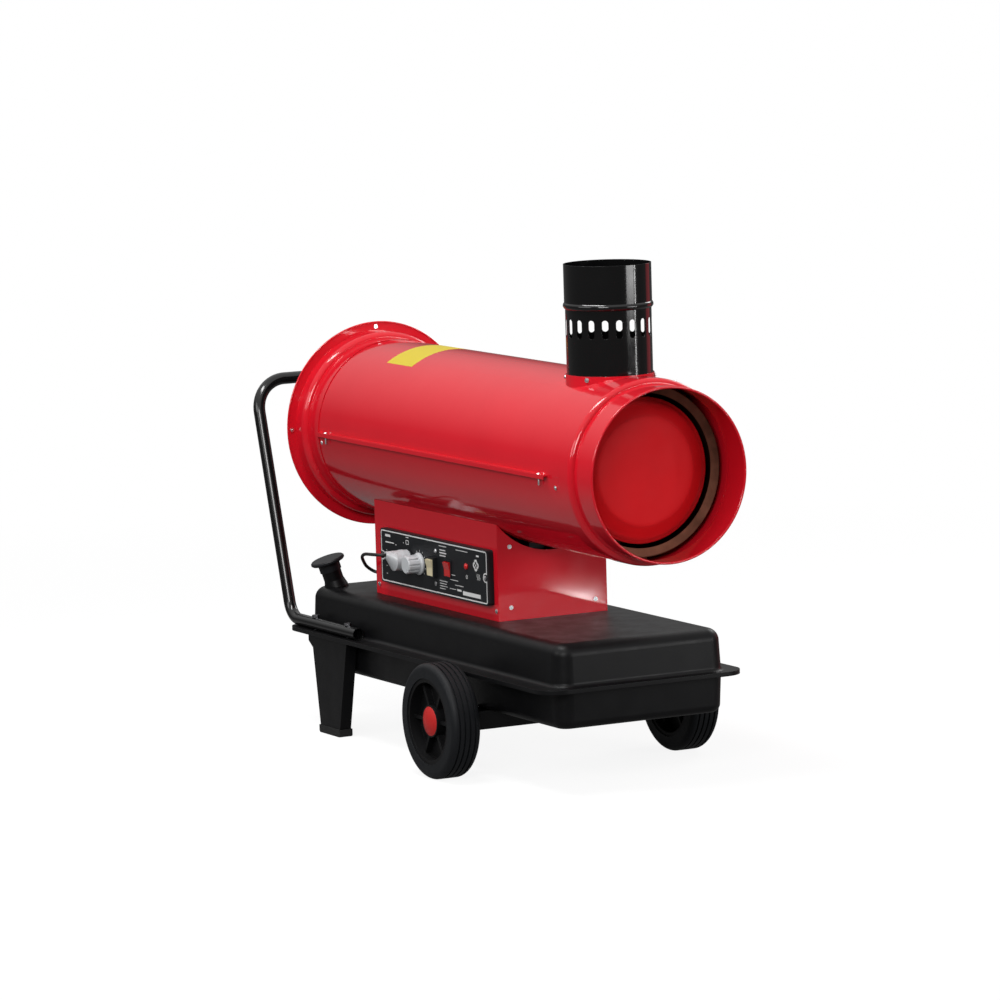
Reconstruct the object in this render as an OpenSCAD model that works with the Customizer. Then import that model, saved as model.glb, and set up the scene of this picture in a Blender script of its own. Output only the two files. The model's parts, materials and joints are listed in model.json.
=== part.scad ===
// Portable indirect-fired space heater on a wheeled fuel tank, in millimetres.
// +X is the hot-air outlet, -X the fan intake, -Y the side with the controls, z = 0 the floor.

/* [Casing] */
// Length over the handle and the outlet rim
overall_l = 1232; // [1200:1:1280]
// Height of the casing's axis above the floor
axis_h = 544; // [535:1:580]
// Diameter of the round casing
casing_d = 316; // [310:1:326]
// Length of the casing halves between their hidden ends
casing_l = 950; // [940:1:970]
// Thickness of the casing's sheet
sheet_t = 1.2; // [1:0.1:1.5]
// Reach of the joining lips at the sides
lip_w = 8.5; // [8:0.5:11]
// Height of the lips' turned-down edge
lip_drop = 7.5; // [6:0.5:10]
// From the casing's rear end to the lips
lip_rear_in = 25; // [24:1:40]
// From the casing's front end to the lips
lip_front_in = 62; // [55:1:80]

/* [Intake ring] */
// Diameter of the intake ring
ring_d = 375; // [370:1:390]
// Length of the intake ring
ring_l = 72; // [68:1:80]
// Length of the ring's sleeve over the casing
ring_lap = 22; // [15:1:23]
// Diameter of the ring's raised step
ring_step_d = 339; // [335:1:343]
// Length of the ring's raised step
ring_step_l = 23; // [15:1:30]
// Diameter of the circle of guard screws
guard_screw_d = 356; // [352:1:360]

/* [Rear guard] */
// Thickness of the guard's wires
guard_wire_d = 3; // [2.5:0.1:4]
// Number of wire rings
guard_rings = 9; // [6:1:11]

/* [Outlet collar] */
// Length of the outlet collar
collar_l = 97; // [92:1:110]
// Length of the collar's band over the casing
collar_lap = 21; // [15:1:28]
// Length of the collar's wide band
collar_band_l = 30; // [28:1:36]
// Diameter of the hot-air outlet
outlet_d = 301; // [298:1:304]

/* [Flue] */
// Diameter of the flue's upper part
flue_d = 150; // [148:0.5:152]
// Diameter of the flue's lower part
flue_low_d = 147.2; // [146:0.2:148]
// Wall thickness of the flue fitting
flue_t = 1; // [0.8:0.1:1.2]
// Length of the flue fitting
flue_l = 198; // [190:1:220]
// From the outlet rim back to the flue's axis
flue_in = 195.5; // [185:0.5:205]
// Length of the flue's upper part, above its bead
flue_spigot_l = 64; // [55:1:70]
// Height of the flue's bead
flue_bead_h = 13; // [9:1:15]
// Reach of the flue's bead beyond the upper part
flue_bead_out = 2.2; // [1.5:0.1:3]
// Number of draught slots
slot_count = 19; // [15:1:20]
// Height of each draught slot
slot_h = 32; // [24:1:34]
// Width of each draught slot
slot_w = 11; // [8:0.5:12]
// Depth of the slots' centres below the flue's top
slot_drop = 108; // [104:1:112]
// Height of the saddle's rim above the casing's crest
saddle_h = 1; // [0.5:0.1:3]

/* [Heat exchanger] */
// Diameter of the exchanger's drum
drum_d = 243; // [238:1:246]
// Length of the exchanger's drum
drum_l = 575; // [560:1:585]
// Wall thickness of the drum
drum_t = 1.5; // [1.2:0.1:2]
// From the outlet rim back to the drum's front end
drum_in = 101; // [98:1:110]
// Diameter of the flat centre of the drum's cover
cover_flat_d = 186; // [170:1:200]
// Rise of the drum's cover from its edge to its flat centre
cover_rise = 14; // [10:0.5:18]
// Diameter of the inner liner
liner_d = 292; // [289:1:294]
// Length of the inner liner
liner_l = 592; // [580:1:600]
// From the outlet rim back to the liner's front edge
liner_in = 84; // [81:1:90]
// Inside diameter of the liner's curled lip
liner_lip_d = 264; // [258:1:270]
// Diameter of the combustion chamber
chamber_d = 170; // [164:1:174]
// Length of the combustion chamber
chamber_l = 520; // [480:1:530]
// Drop of the chamber's axis below the casing's axis
chamber_drop = 28; // [24:1:30]

/* [Fan and burner] */
// Diameter of the axial fan
fan_d = 304; // [296:1:306]
// Width of the axial fan
fan_w = 45; // [38:1:46]
// Number of fan blades
fan_blades = 6; // [4:1:8]
// Diameter of the motor
motor_d = 116; // [108:1:120]
// Length of the motor
motor_l = 130; // [120:1:132]
// Diameter of the motor's shaft
shaft_d = 14; // [12:1:16]
// Diameter of the burner's fan housing
scroll_d = 164; // [156:1:170]
// Width of the burner's fan housing
scroll_w = 90; // [80:1:92]
// Diameter of the burner's impeller
impeller_d = 124; // [112:1:132]
// Number of impeller blades
impeller_blades = 20; // [12:1:24]
// Diameter of the blast tube
blast_d = 76; // [72:1:78]
// Drop of the blast tube's axis below the casing's axis
blast_drop = 62; // [61:0.5:64]
// Width of the fuel pump's block
pump_w = 42; // [38:1:44]
// Diameter of the fuel pipes
pipe_d = 6; // [5:0.5:8]

/* [Control box] */
// Length of the control box
box_l = 468; // [455:1:480]
// Width of the control box
box_w = 216; // [212:1:222]
// From the outlet rim back to the box's front plate
box_in = 420.5; // [410:0.5:425]
// Radius of the front plate's top cut-out
cutout_r = 135.5; // [130:0.5:140]
// Length of the control panel
panel_l = 408; // [400:1:412]
// Height of the control panel
panel_h = 97.5; // [94:0.5:102]
// Depth by which the panel stands off the box
panel_depth = 12.2; // [10:0.1:14]
// From the front plate to the panel
panel_in = 14.5; // [12:0.5:20]
// Height of the panel's lower edge above the tank
panel_lift = 27; // [24:0.5:30]

/* [Controls] */
// Diameter of the knob's body
knob_d = 32; // [28:1:34]
// Diameter of the knob's skirt
knob_skirt_d = 40; // [37:1:41]
// Depth of the knob from its base to its face
knob_depth = 29; // [25:1:34]
// Number of grip flutes round the knob
knob_flutes = 10; // [8:1:12]
// Diameter of the knob's spindle
spindle_d = 6; // [5:0.5:8]
// Diameter of the plug's body
plug_d = 36; // [32:1:38]
// Length of the plug from its socket to its end
plug_l = 42; // [38:1:46]
// Width of the cream rocker
rocker_w = 21; // [19:0.5:22]
// Height of the cream rocker
rocker_h = 29; // [26:0.5:30]
// Depth by which the cream rocker's frame stands off the panel
rocker_frame_h = 8.5; // [6:0.5:10]
// Width of the red rocker
lit_rocker_w = 21; // [18:0.5:22]
// Height of the red rocker
lit_rocker_h = 25; // [22:0.5:27]
// Tilt of a rocker either side of its middle
rocker_tilt = 8; // [5:0.5:8]
// Diameter of the pilot lamp's lens
lamp_d = 11; // [9:0.5:13]
// Diameter of the thermostat's lead
lead_d = 6; // [5.4:0.1:6.4]

/* [Fuel tank] */
// Length over the tank's flange
tank_l = 1003; // [990:1:1010]
// Width over the tank's flange
tank_w = 396; // [390:1:400]
// From the outlet rim back to the tank's front edge
tank_in = 90; // [80:1:98]
// Height of the joint between the tank's two shells
tank_joint_h = 183; // [178:1:188]
// Height of the tank's top above the floor
tank_top_h = 258; // [252:1:262]
// Height of the tank's floor above the ground
tank_floor_h = 112; // [110:1:120]
// Thickness of the tank's sheet
tank_t = 1.5; // [1.2:0.1:2]
// Radius of the flange's corners
flange_corner_r = 42; // [36:1:46]
// Height of the flange's folded hem
flange_hem = 7.5; // [6:0.5:8.5]
// Reach of the flange beyond the walls at the sides
flange_side = 33; // [31:0.5:35]
// Reach of the flange beyond the wall at the rear
flange_rear = 36; // [33:0.5:40]
// Reach of the flange beyond the wall at the front
flange_front = 16; // [14:0.5:20]
// Radius of the tank's upright corners
wall_corner_r = 30; // [29:1:34]
// Radius round the edge of the tank's top
top_edge_r = 22; // [18:1:22]
// Radius round the edge of the tank's floor
floor_edge_r = 15; // [12:1:18]
// Slope of the tank's walls
wall_draft = 3; // [2:0.5:4]
// Radius of the blend between walls and flange
root_r = 8; // [6:0.5:9]

/* [Filler] */
// From the tank's rear edge to the filler
filler_in = 79; // [72:1:85]
// Distance of the filler from the tank's middle line
filler_side = 128; // [120:1:130]
// Diameter of the filler neck
neck_d = 36; // [34:0.5:37]
// Length of the filler neck
neck_l = 60; // [55:1:66]
// Sideways slope of the filler neck
neck_tilt = 17; // [12:1:20]
// Diameter of the fuel cap
cap_d = 63; // [58:1:68]
// Thickness of the fuel cap's disc
cap_t = 7; // [5:0.5:9]

/* [Running gear] */
// Diameter of the wheels
wheel_d = 202; // [196:1:208]
// Width of the tyres
tyre_w = 55; // [50:1:56]
// Width over the two wheels
track_w = 530; // [528:1:540]
// Diameter of the hubs
hub_d = 150; // [140:1:156]
// Number of ribs in each hub
hub_ribs = 6; // [5:1:8]
// Diameter of the axle
axle_d = 20; // [18:0.5:22]
// From the outlet rim back to the axle
axle_in = 402; // [392:1:412]
// Width of the axle's channel
channel_w = 44; // [40:1:50]

/* [Legs] */
// From the tank's rear edge to the legs
leg_in = 83; // [78:1:90]
// Length of a leg at its top
leg_top_l = 156; // [150:1:160]
// Length of a leg at its foot
leg_foot_l = 79; // [72:1:86]
// Depth of a leg across the tank
leg_depth = 22; // [20:1:23]
// Height of the rubber foot pads
pad_h = 14; // [10:1:18]

/* [Handle] */
// Diameter of the handle's tube
handle_d = 22; // [20:1:24]
// Wall thickness of the handle's tube
handle_t = 1.5; // [1.2:0.1:2]
// Distance between the middle lines of the handle's two arms
handle_w = 360; // [354:1:364]
// Length of the handle's sloping arms
handle_arm_l = 446; // [430:1:460]
// Rearward run of those arms as a share of their length
handle_slope = 0.28; // [0.26:0.01:0.3]
// Radius of the handle's upper bends
handle_bend_r = 60; // [50:1:70]
// Radius of the handle's lower bends
handle_low_r = 40; // [34:1:46]
// From the tank's rear edge to the handle's ends
handle_end_in = 267; // [255:1:280]

/* [Hidden] */

$fn = 96;
// Overshoot of a cut past a face
cut = 2;
// Gap of a loose seat, and radial play of a running fit
seat = 0.3;
play = 0.05;

// Lesser sizes
lip_screw_rear_in = 33;
lip_screw_front_in = 23;
slot_turn = 3.9;
saddle_t = 2;
cover_skirt_l = 15;
liner_lip_back = 6;
chamber_t = 2;
blast_l = 115;
pump_l = 50;
impeller_w = 40;
fan_hub_d = 90;
cutout_gap = 10;
cap_skirt_d = 40;
cap_skirt_l = 16;
channel_l = 400;
neck_lean = 3;
rim_bead_d = 4.4;
leg_t = 2.5;
panel_t = 2.5;
hub_cap_d = 51;
guard_pitch = 18;
flue_seat = 11;

// Main stations along the heater
outlet_x = overall_l / 2;
casing_r = casing_d / 2;
casing_in_r = casing_r - sheet_t;
casing_front_x = outlet_x - collar_l + collar_lap;
casing_rear_x = casing_front_x - casing_l;
ring_x = casing_rear_x + ring_lap - ring_l;
collar_x = outlet_x - collar_l;
lip_x0 = casing_rear_x + lip_rear_in;
lip_x1 = casing_front_x - lip_front_in;
lip_screw_y = casing_r + lip_w / 2;
sleeve_r = casing_r + seat + sheet_t;
ring_r = ring_d / 2;
ring_step_r = ring_step_d / 2;
outlet_r = outlet_d / 2;
tank_front_x = outlet_x - tank_in;
tank_rear_x = tank_front_x - tank_l;

// Pan-head screws: body, head and the hole for them
screw_d = 4;
screw_head_d = 8;
screw_head_h = 2.6;
screw_head_r = 5;
screw_hole_d = screw_d + seat;
lip_screw_l = 19;
sheet_screw_l = 8;
panel_screw_l = 18;
switch_screw_l = 8;
band_screw_x = collar_x + collar_lap / 2;
band_screw_angles = [66, 294];
ring_edge_r = 1.5;

// Guard: tabs that carry its screws, and depth by which wires are pressed together
guard_tab_in = 6;
guard_tab_w = 10;
guard_tab_t = 2;
guard_bite = 0.8;

// Radial screws of the fan's and the exchanger's brackets
liner_x0 = outlet_x - liner_in - liner_l;
bracket_x = casing_rear_x + 31;
liner_screw_x = casing_front_x - 35;
liner_rear_screw_x = liner_x0 + 30;
side_dip = 6.5;
bracket_angles = [180 + side_dip, -side_dip, 270];
liner_rear_angles = [245, 295];
bracket_foot_l = 18;
bracket_foot_w = 20;
bracket_foot_t = 2;
bracket_t = 2.5;
bracket_ring_w = 12;
bracket_arm_in = 1;
foot_top_r = sqrt(pow(casing_in_r - seat / 2, 2) - pow(bracket_foot_w / 2, 2));

// Flue
flue_x = outlet_x - flue_in;
flue_r = flue_d / 2;
flue_low_r = flue_low_d / 2;
flue_base_z = axis_h + casing_r + saddle_h - flue_seat;
flue_top_z = flue_base_z + flue_l;
flue_bead_z = flue_top_z - flue_spigot_l - flue_bead_h;
saddle_r = flue_low_r + seat + saddle_t;
stub_r = flue_low_r - flue_t - seat;
stub_t = 1.5;
stub_top_z = flue_base_z + 45;
stub_sink = 4;
bead_join_angle = 46;
saddle_screw_angles = [60, 120, 240, 300];
saddle_screw_z = axis_h + casing_r + saddle_h - 6;

// Heat exchanger
drum_r = drum_d / 2;
drum_x1 = outlet_x - drum_in;
drum_x0 = drum_x1 - drum_l;
cover_r = drum_r + seat + drum_t;
cover_edge_x = drum_x1 + 5;
cover_bead_r = 2.5;
liner_r = liner_d / 2;
liner_t = 1.2;
chamber_r = chamber_d / 2;
chamber_z = axis_h - chamber_drop;
chamber_x0 = drum_x0 + drum_t;
chamber_foot_in = 60;
chamber_foot_l = 30;
chamber_foot_w = 30;
chamber_foot_z = axis_h - sqrt(pow(drum_r - drum_t - seat, 2) - pow(chamber_foot_w / 2, 2));
chamber_port_in = 60;
chamber_port_l = 120;
chamber_port_w = 80;
stay_angles = [30, 150, 270];
stay_w = 16;
stay_l = 20;
stay_stations = [drum_x0 + 110, drum_x1 - 100];
stay_top_r = sqrt(pow(liner_r - liner_t - seat, 2) - pow(stay_w / 2, 2));

// Fan and burner
motor_x0 = bracket_x - 6;
motor_x1 = motor_x0 + motor_l;
motor_r = motor_d / 2;
motor_nose_l = 8;
motor_box_h = 14;
motor_box_w = 50;
fan_gap = 10;
fan_x1 = motor_x0 - fan_gap;
fan_x0 = fan_x1 - fan_w;
fan_hub_in = 5;
fan_hub_wall = 4;
blade_root_w = 70;
blade_tip_w = 104;
blade_t = 2;
blade_bow_r = 120;
blade_pitch = 22;
shaft_r = shaft_d / 2;
shaft_end_gap = 1;
spigot_l = 10;
spigot_r = 45;
spigot_wall = 3;
spigot_port_w = 50;
scroll_x0 = motor_x1 + spigot_l;
scroll_x1 = scroll_x0 + scroll_w;
scroll_t = 2;
scroll_lip = 2;
impeller_x0 = scroll_x0 + 12;
impeller_hub_t = 7;
vane_l = 20;
vane_t = 2;
vane_turn = 30;
blast_r = blast_d / 2;
blast_z = axis_h - blast_drop;
blast_t = 1.5;
pump_cover_h = 6;
pump_cover_in = 2;
coil_r = 14;
coil_h = 40;
coil_nut_h = 5;
coil_plug_l = 8;
shaft_x0 = fan_x0 - 6;
shaft_x1 = scroll_x1 + 16;
pipe_x = scroll_x1 + 30;
pipe_y = 52;
pipe_z = axis_h;
pipe_out = 3;
pipe_hole_r = pipe_d / 2 + 2 * seat;
pipe_down_y = -blast_r - pipe_out - pipe_d / 2;
filter_h = 50;
filter_z = (tank_top_h + axis_h - casing_r - filter_h) / 2;
filter_r = 16;
filter_boss_h = 6;
head_disc_x = drum_x0 + 4;
head_disc_t = 2;
head_slots = 8;
head_slot_w = 4;
nozzle_l = 30;
nozzle_r = 9;
nozzle_out = 2;
electrode_d = 4;
electrode_y = 6;
electrode_up = 14;
electrode_out = 8;

// Control box
box_x1 = outlet_x - box_in;
box_x0 = box_x1 - box_l;
box_y = box_w / 2;
box_t = 1.2;
box_tab = 30;
box_foot = 15;
plate_screw_y = 84;
plate_screw_low = 23;
plate_screw_high = 130;
side_screw_in = 7;
side_screw_rear_in = 13.5;
side_screw_low = 18;
plate_x = box_x1 - box_t;
panel_x1 = box_x1 - panel_in;
panel_x0 = panel_x1 - panel_l;
panel_z0 = tank_top_h + panel_lift;
panel_back_y = -box_y - seat;
panel_face_y = panel_back_y - panel_depth;
panel_corner_r = 5;
panel_mid_z = panel_z0 + panel_h / 2;
window_margin = 14;
panel_screw_in = 8;

// Electrical pieces under the casing, in the box
limit_x = box_x1 - 95;
limit_l = 40;
limit_w = 30;
limit_h = 25;
transformer_x = box_x0 + 72;
transformer_l = 80;
transformer_w = 60;
transformer_h = 60;
relay_x = box_x1 - 135;
relay_l = 90;
relay_w = 62;
relay_h = 60;
relay_gap = 5;
terminal_d = 12;
terminal_h = 14;

// Places of the controls, from the panel's rear end and middle height
socket_x = panel_x0 + 107;
socket_z = panel_mid_z + 2;
knob_x = panel_x0 + 152;
knob_z = panel_mid_z - 1;
rocker_x = panel_x0 + 206;
rocker_z = panel_mid_z - 1;
lit_rocker_x = panel_x0 + 259;
lit_rocker_z = panel_mid_z + 1;
lamp_x = panel_x0 + 330;
lamp_z = panel_mid_z + 13;
switch_screw_x = rocker_x + 8;
switch_screw_up = 29;
socket_d = 40;
socket_t = 3;
socket_body_d = 30;
socket_depth = 24;
plug_cone_l = 15;
plug_cone_up = 12;
plug_tip_d = 12;
plug_edge = 1;
frame_wall = 3.5;
frame_gap = 1;
frame_depth = 12;
frame_skin = 1.5;
frame_floor = 1.5;
rocker_pin_d = 3;
rocker_pin_l = 1.2;
rocker_pivot_in = 3;
rocker_proud = 2.5;
rocker_dip = 1.5;
rocker_back = 6;
rocker_chamfer = 3;
lit_frame_h = 1.5;
lamp_h = 2;
lamp_depth = 14;
lamp_rim = 2;
plug_ring_z = 8;
plug_ring_h = 6;
plug_ring_out = 1.5;
knob_base_gap = 0.8;
knob_base_h = 3;
knob_edge = 2;
knob_taper = 1;
flute_d = 5;
flute_out = 1.4;
flute_up = 2;
knob_switch_w = 38;
knob_switch_l = 22;
knob_bush_d = 10;
spindle_l = 20;

// Thermostat lead: from the plug round to the gland in the box's rear wall, points chosen by hand
gland_y = -94;
gland_z = tank_top_h + 33;
mains_gland_y = 60;
gland_d = 16;
gland_l = 12;
gland_neck_d = 12;
gland_nut_h = 4;
mains_hole_d = 8;
plug_end_y = panel_face_y - socket_t - plug_l;
lead_start = [socket_x, plug_end_y, socket_z + plug_cone_up];
lead_end = [box_x0 - gland_l, gland_y, gland_z];
lead_points = [
  lead_start,
  lead_start + [0, -7, 0],
  lead_start + [-25, -16.5, 1.25],
  lead_start + [-70, -16.5, -1.75],
  lead_start + [-115, -3.5, -8.75],
  lead_end + [9.5, -55, 36],
  lead_end + [-20.5, -32, 20],
  lead_end + [-26.5, -11, 7],
  lead_end + [-8, 0, 0],
  lead_end
];
lead_sides = 10;
lead_steps = 3;

// Fuel tank
tank_mid_x = (tank_front_x + tank_rear_x) / 2;
wall_x0 = tank_rear_x + flange_rear;
wall_x1 = tank_front_x - flange_front;
wall_l = wall_x1 - wall_x0;
wall_w = tank_w - 2 * flange_side;
wall_mid_x = (wall_x0 + wall_x1) / 2;
flange_z = tank_joint_h + tank_t;
lower_flange_in = tank_t + seat;
lower_root_r = 2.5;
root_lap = 3;
drain_x = tank_mid_x;
drain_d = 16;
drain_head_d = 24;

// Filler
filler_x = tank_rear_x + filler_in;
filler_y = -filler_side;
neck_r = neck_d / 2;
neck_t = 1.5;
neck_base_out = 4;
neck_base_h = 14;
neck_base_dip = 8;
neck_sink = 14;
neck_top = neck_l - neck_sink;
strainer_r = neck_r - neck_t - seat;
strainer_t = 1;
strainer_l = 56;
cap_edge = 2;

// Running gear
axle_x = outlet_x - axle_in;
axle_z = wheel_d / 2;
axle_r = axle_d / 2;
wheel_out_y = track_w / 2;
wheel_in_y = wheel_out_y - tyre_w;
hub_r = hub_d / 2;
hub_in = 2;
hub_w = tyre_w - 2 * hub_in;
hub_cap_t = 6;
hub_boss_r = 28;
hub_boss_l = tyre_w - hub_cap_t;
hub_rim_t = 7;
hub_web_t = 8;
hub_rib_t = 6;
hub_rib_in = 10;
clip_t = 3;
clip_r = 16;
clip_gap = 0.3;
clip_pocket = 10;
axle_half = wheel_in_y + hub_boss_l - hub_in;
tyre_round = 11;
groove_w = 3;
groove_d = 3;
groove_pitch = 10;
groove_count = 4;
channel_t = 2.5;
channel_drop = 21;

// Legs
leg_x0 = tank_rear_x + leg_in;
leg_x1 = leg_x0 + leg_top_l;
leg_shoulder_h = 17;
leg_shoulder_slope = 11;
leg_shoulder_in = 17;
leg_foot_in = 39;
leg_y = handle_w / 2 + 10;
leg_top_z = tank_joint_h - tank_t - seat;
pad_out = 2;
pad_edge = 3;

// Handle
handle_r = handle_d / 2;
handle_bar_x = handle_r - overall_l / 2;
handle_z = flange_z + handle_r + seat / 2;
handle_end_x = tank_rear_x + handle_end_in;
handle_y = handle_w / 2;
handle_lean = asin(handle_slope);
handle_knee_x = handle_bar_x + handle_arm_l * handle_slope;
knee_turn = 90 - handle_lean;
knee_back = handle_low_r * tan(knee_turn / 2);

// Bolts: body, head and the holes for them
bolt_d = 8;
bolt_hole_d = bolt_d + 0.6;
bolt_head_d = 14;
bolt_head_h = 5;
handle_bolt_in = 13;
handle_bolt_l = 36;
foot_bolt_d = 6;
foot_bolt_head_d = 10;
foot_bolt_l = 10;
foot_bolt_in = 40;

// Children with their Z axis laid along the heater's axis, at station x
module along_x(x, y = 0, z = axis_h) {
  translate([x, y, z]) rotate([0, 90, 0]) children();
}

// Children, and their mirror image across the heater's middle plane
module both_sides() {
  children();
  mirror([0, 1, 0]) children();
}

// Tube standing on z = 0
module tube(outer_r, inner_r, length) {
  difference() {
    cylinder(h = length, r = outer_r);
    translate([0, 0, -cut]) cylinder(h = length + 2 * cut, r = inner_r);
  }
}

// Pan-head screw: its head stands on z = 0 and its body reaches down
module pan_screw(length) {
  intersection() {
    cylinder(h = screw_head_h, d = screw_head_d);
    translate([0, 0, screw_head_h - screw_head_r]) sphere(r = screw_head_r);
  }
  translate([0, 0, -length]) cylinder(h = length, d = screw_d);
}

// Hole for a pan-head screw
module screw_hole(length = sheet_screw_l) {
  translate([0, 0, -length - cut]) cylinder(h = length + 2 * cut, d = screw_hole_d);
}

// Hole for a bolt of the handle
module handle_bolt_hole() {
  translate([0, 0, -handle_bolt_l]) cylinder(h = handle_bolt_l + cut, d = bolt_hole_d);
}

// Hole for a bolt of the box's foot
module foot_bolt_hole() {
  translate([0, 0, -foot_bolt_l]) cylinder(h = foot_bolt_l + cut, d = foot_bolt_d + seat);
}

// Hexagon bolt: its head stands on z = 0 and its body reaches down
module hex_bolt(d, head_d, length) {
  cylinder(h = bolt_head_h, d = head_d, $fn = 6);
  translate([0, 0, -length]) cylinder(h = length, d = d);
}

// Children on the four lip screws, their Z axis up
module at_lip_screws() {
  for (x = [lip_x0 + lip_screw_rear_in, lip_x1 - lip_screw_front_in], s = [-1, 1])
    translate([x, s * lip_screw_y, axis_h + sheet_t]) children();
}

// Children on the casing's skin at given angles, their Z axis pointing outward
module on_casing(x, angles, r = casing_r) {
  for (a = angles)
    translate([x, 0, axis_h]) rotate([a, 0, 0]) translate([0, r, 0]) rotate([-90, 0, 0]) children();
}

// Children on every radial screw of the casing
module at_bracket_screws() {
  on_casing(bracket_x, bracket_angles) children();
  on_casing(liner_screw_x, bracket_angles) children();
  on_casing(liner_rear_screw_x, liner_rear_angles) children();
}

// Children on the guard's screws, their Z axis towards the outlet
module at_guard_screws() {
  for (a = [0 : 90 : 270])
    translate([ring_x + sheet_t, 0, axis_h]) rotate([a, 0, 0]) translate([0, guard_screw_d / 2, 0])
      rotate([0, 90, 0]) children();
}

// Children on the screws of the collar's band
module at_band_screws() {
  on_casing(band_screw_x, band_screw_angles, sleeve_r) children();
}

// Children on the screws of the flue's saddle
module at_saddle_screws() {
  for (a = saddle_screw_angles)
    translate([flue_x, 0, saddle_screw_z]) rotate([0, 90, a]) translate([0, 0, saddle_r]) children();
}

// Children on the screws of the box's front plate
module at_plate_screws() {
  for (s = [-1, 1], h = [plate_screw_low, plate_screw_high])
    translate([box_x1, s * plate_screw_y, tank_top_h + h]) rotate([0, 90, 0]) children();
}

// Children on the screws low on the box's sides
module at_side_screws() {
  both_sides() for (x = [box_x0 + side_screw_rear_in, box_x1 - side_screw_in])
    translate([x, -box_y, tank_top_h + side_screw_low]) rotate([90, 0, 0]) children();
}

// Children in a frame on the panel's face at (x, z): X along the panel, Y up, Z outward
module on_panel(x, z, out = 0) {
  translate([x, panel_face_y - out, z]) rotate([90, 0, 0]) children();
}

// Children on the screws at the panel's two ends
module at_panel_screws() {
  for (x = [panel_x0 + panel_screw_in, panel_x1 - panel_screw_in])
    on_panel(x, panel_mid_z) children();
}

// Children on the two screws by the cream rocker
module at_switch_screws() {
  for (s = [-1, 1])
    on_panel(switch_screw_x, rocker_z + s * switch_screw_up) children();
}

// Children on the handle's bolts
module at_handle_bolts() {
  both_sides() for (x = [leg_x0 + handle_bolt_in, leg_x1 - handle_bolt_in])
    translate([x, -handle_y, handle_z + handle_r]) children();
}

// Children on the bolts of the box's feet
module at_foot_bolts() {
  both_sides() for (x = [box_x0 + foot_bolt_in, box_x1 - foot_bolt_in])
    translate([x, box_foot / 2 - box_y + box_t, tank_top_h + box_t]) children();
}

// One half of the round casing, side 1 above the axis and -1 below it
module half_casing(side) {
  intersection() {
    along_x(casing_rear_x) tube(casing_r, casing_in_r, casing_l);
    translate([casing_rear_x - cut, -casing_d, side > 0 ? axis_h : axis_h - casing_d])
      cube([casing_l + 2 * cut, 2 * casing_d, casing_d]);
  }
}

module upper_casing() {
  color("firebrick") difference() {
    union() {
      half_casing(1);
      both_sides() translate([lip_x0, casing_in_r, axis_h])
        cube([lip_x1 - lip_x0, sheet_t + lip_w, sheet_t]);
      both_sides() translate([lip_x0, casing_r + lip_w - sheet_t, axis_h + sheet_t - lip_drop])
        cube([lip_x1 - lip_x0, sheet_t, lip_drop]);
      difference() {
        translate([flue_x, 0, axis_h])
          cylinder(h = casing_r + saddle_h, r = saddle_r);
        along_x(flue_x - 2 * saddle_r) cylinder(h = 4 * saddle_r, r = casing_in_r);
      }
    }
    translate([flue_x, 0, axis_h]) cylinder(h = casing_d, r = saddle_r - saddle_t);
    at_lip_screws() screw_hole(lip_screw_l);
    at_saddle_screws() screw_hole();
    at_band_screws() screw_hole();
  }
}

module lower_casing() {
  color("firebrick") difference() {
    union() {
      half_casing(-1);
      both_sides() translate([lip_x0, casing_in_r, axis_h - sheet_t])
        cube([lip_x1 - lip_x0, lip_w - seat, sheet_t]);
    }
    at_lip_screws() screw_hole(lip_screw_l);
    at_bracket_screws() screw_hole();
    at_band_screws() screw_hole();
    translate([pipe_x, pipe_y, axis_h - casing_d]) cylinder(h = casing_d, r = pipe_hole_r);
  }
}

// Quarter ring in section that turns from one outer radius to a smaller one
module shoulder(from_r, to_r, x) {
  size = from_r - to_r;
  translate([to_r, x]) intersection() {
    difference() {
      circle(r = size);
      circle(r = size - sheet_t);
    }
    square(size);
  }
}

module intake_ring() {
  turn = ring_step_r - sleeve_r;
  color("firebrick") difference() {
    along_x(ring_x) rotate_extrude() {
      translate([ring_step_r - sheet_t, 0]) square([ring_r - ring_step_r + sheet_t - ring_edge_r, sheet_t]);
      translate([ring_r - ring_edge_r, ring_edge_r]) circle(r = ring_edge_r);
      translate([ring_step_r - sheet_t, 0]) square([sheet_t, ring_step_l]);
      shoulder(ring_step_r, sleeve_r, ring_step_l);
      translate([sleeve_r - sheet_t, ring_step_l + turn - sheet_t])
        square([sheet_t, ring_l - ring_step_l - turn + sheet_t]);
    }
    at_guard_screws() screw_hole();
  }
}

module rear_guard() {
  wire_r = guard_wire_d / 2;
  outer_r = guard_screw_d / 2 - guard_tab_in;
  inner_r = outer_r - (guard_rings - 1) * guard_pitch;
  ring_plane_x = ring_x - wire_r - seat;
  color("dimgray") difference() {
    union() {
      for (k = [0 : guard_rings - 1])
        along_x(ring_plane_x) rotate_extrude() translate([outer_r - k * guard_pitch, 0]) circle(r = wire_r);
      for (a = [22.5 : 45 : 337.5])
        translate([ring_plane_x - 2 * wire_r + guard_bite, 0, axis_h]) rotate([a, 0, 0])
          translate([0, 0, inner_r - guard_wire_d]) rotate([0, 0, 180])
            cylinder(h = outer_r - inner_r + 2 * guard_wire_d, r = wire_r);
      for (a = [0 : 90 : 270])
        translate([ring_x - guard_tab_t, 0, axis_h]) rotate([a, 0, 0])
          translate([0, outer_r - guard_tab_w / 2, -guard_tab_w / 2])
            cube([guard_tab_t, guard_tab_in + guard_tab_w, guard_tab_w]);
    }
    at_guard_screws() screw_hole();
  }
}

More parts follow.
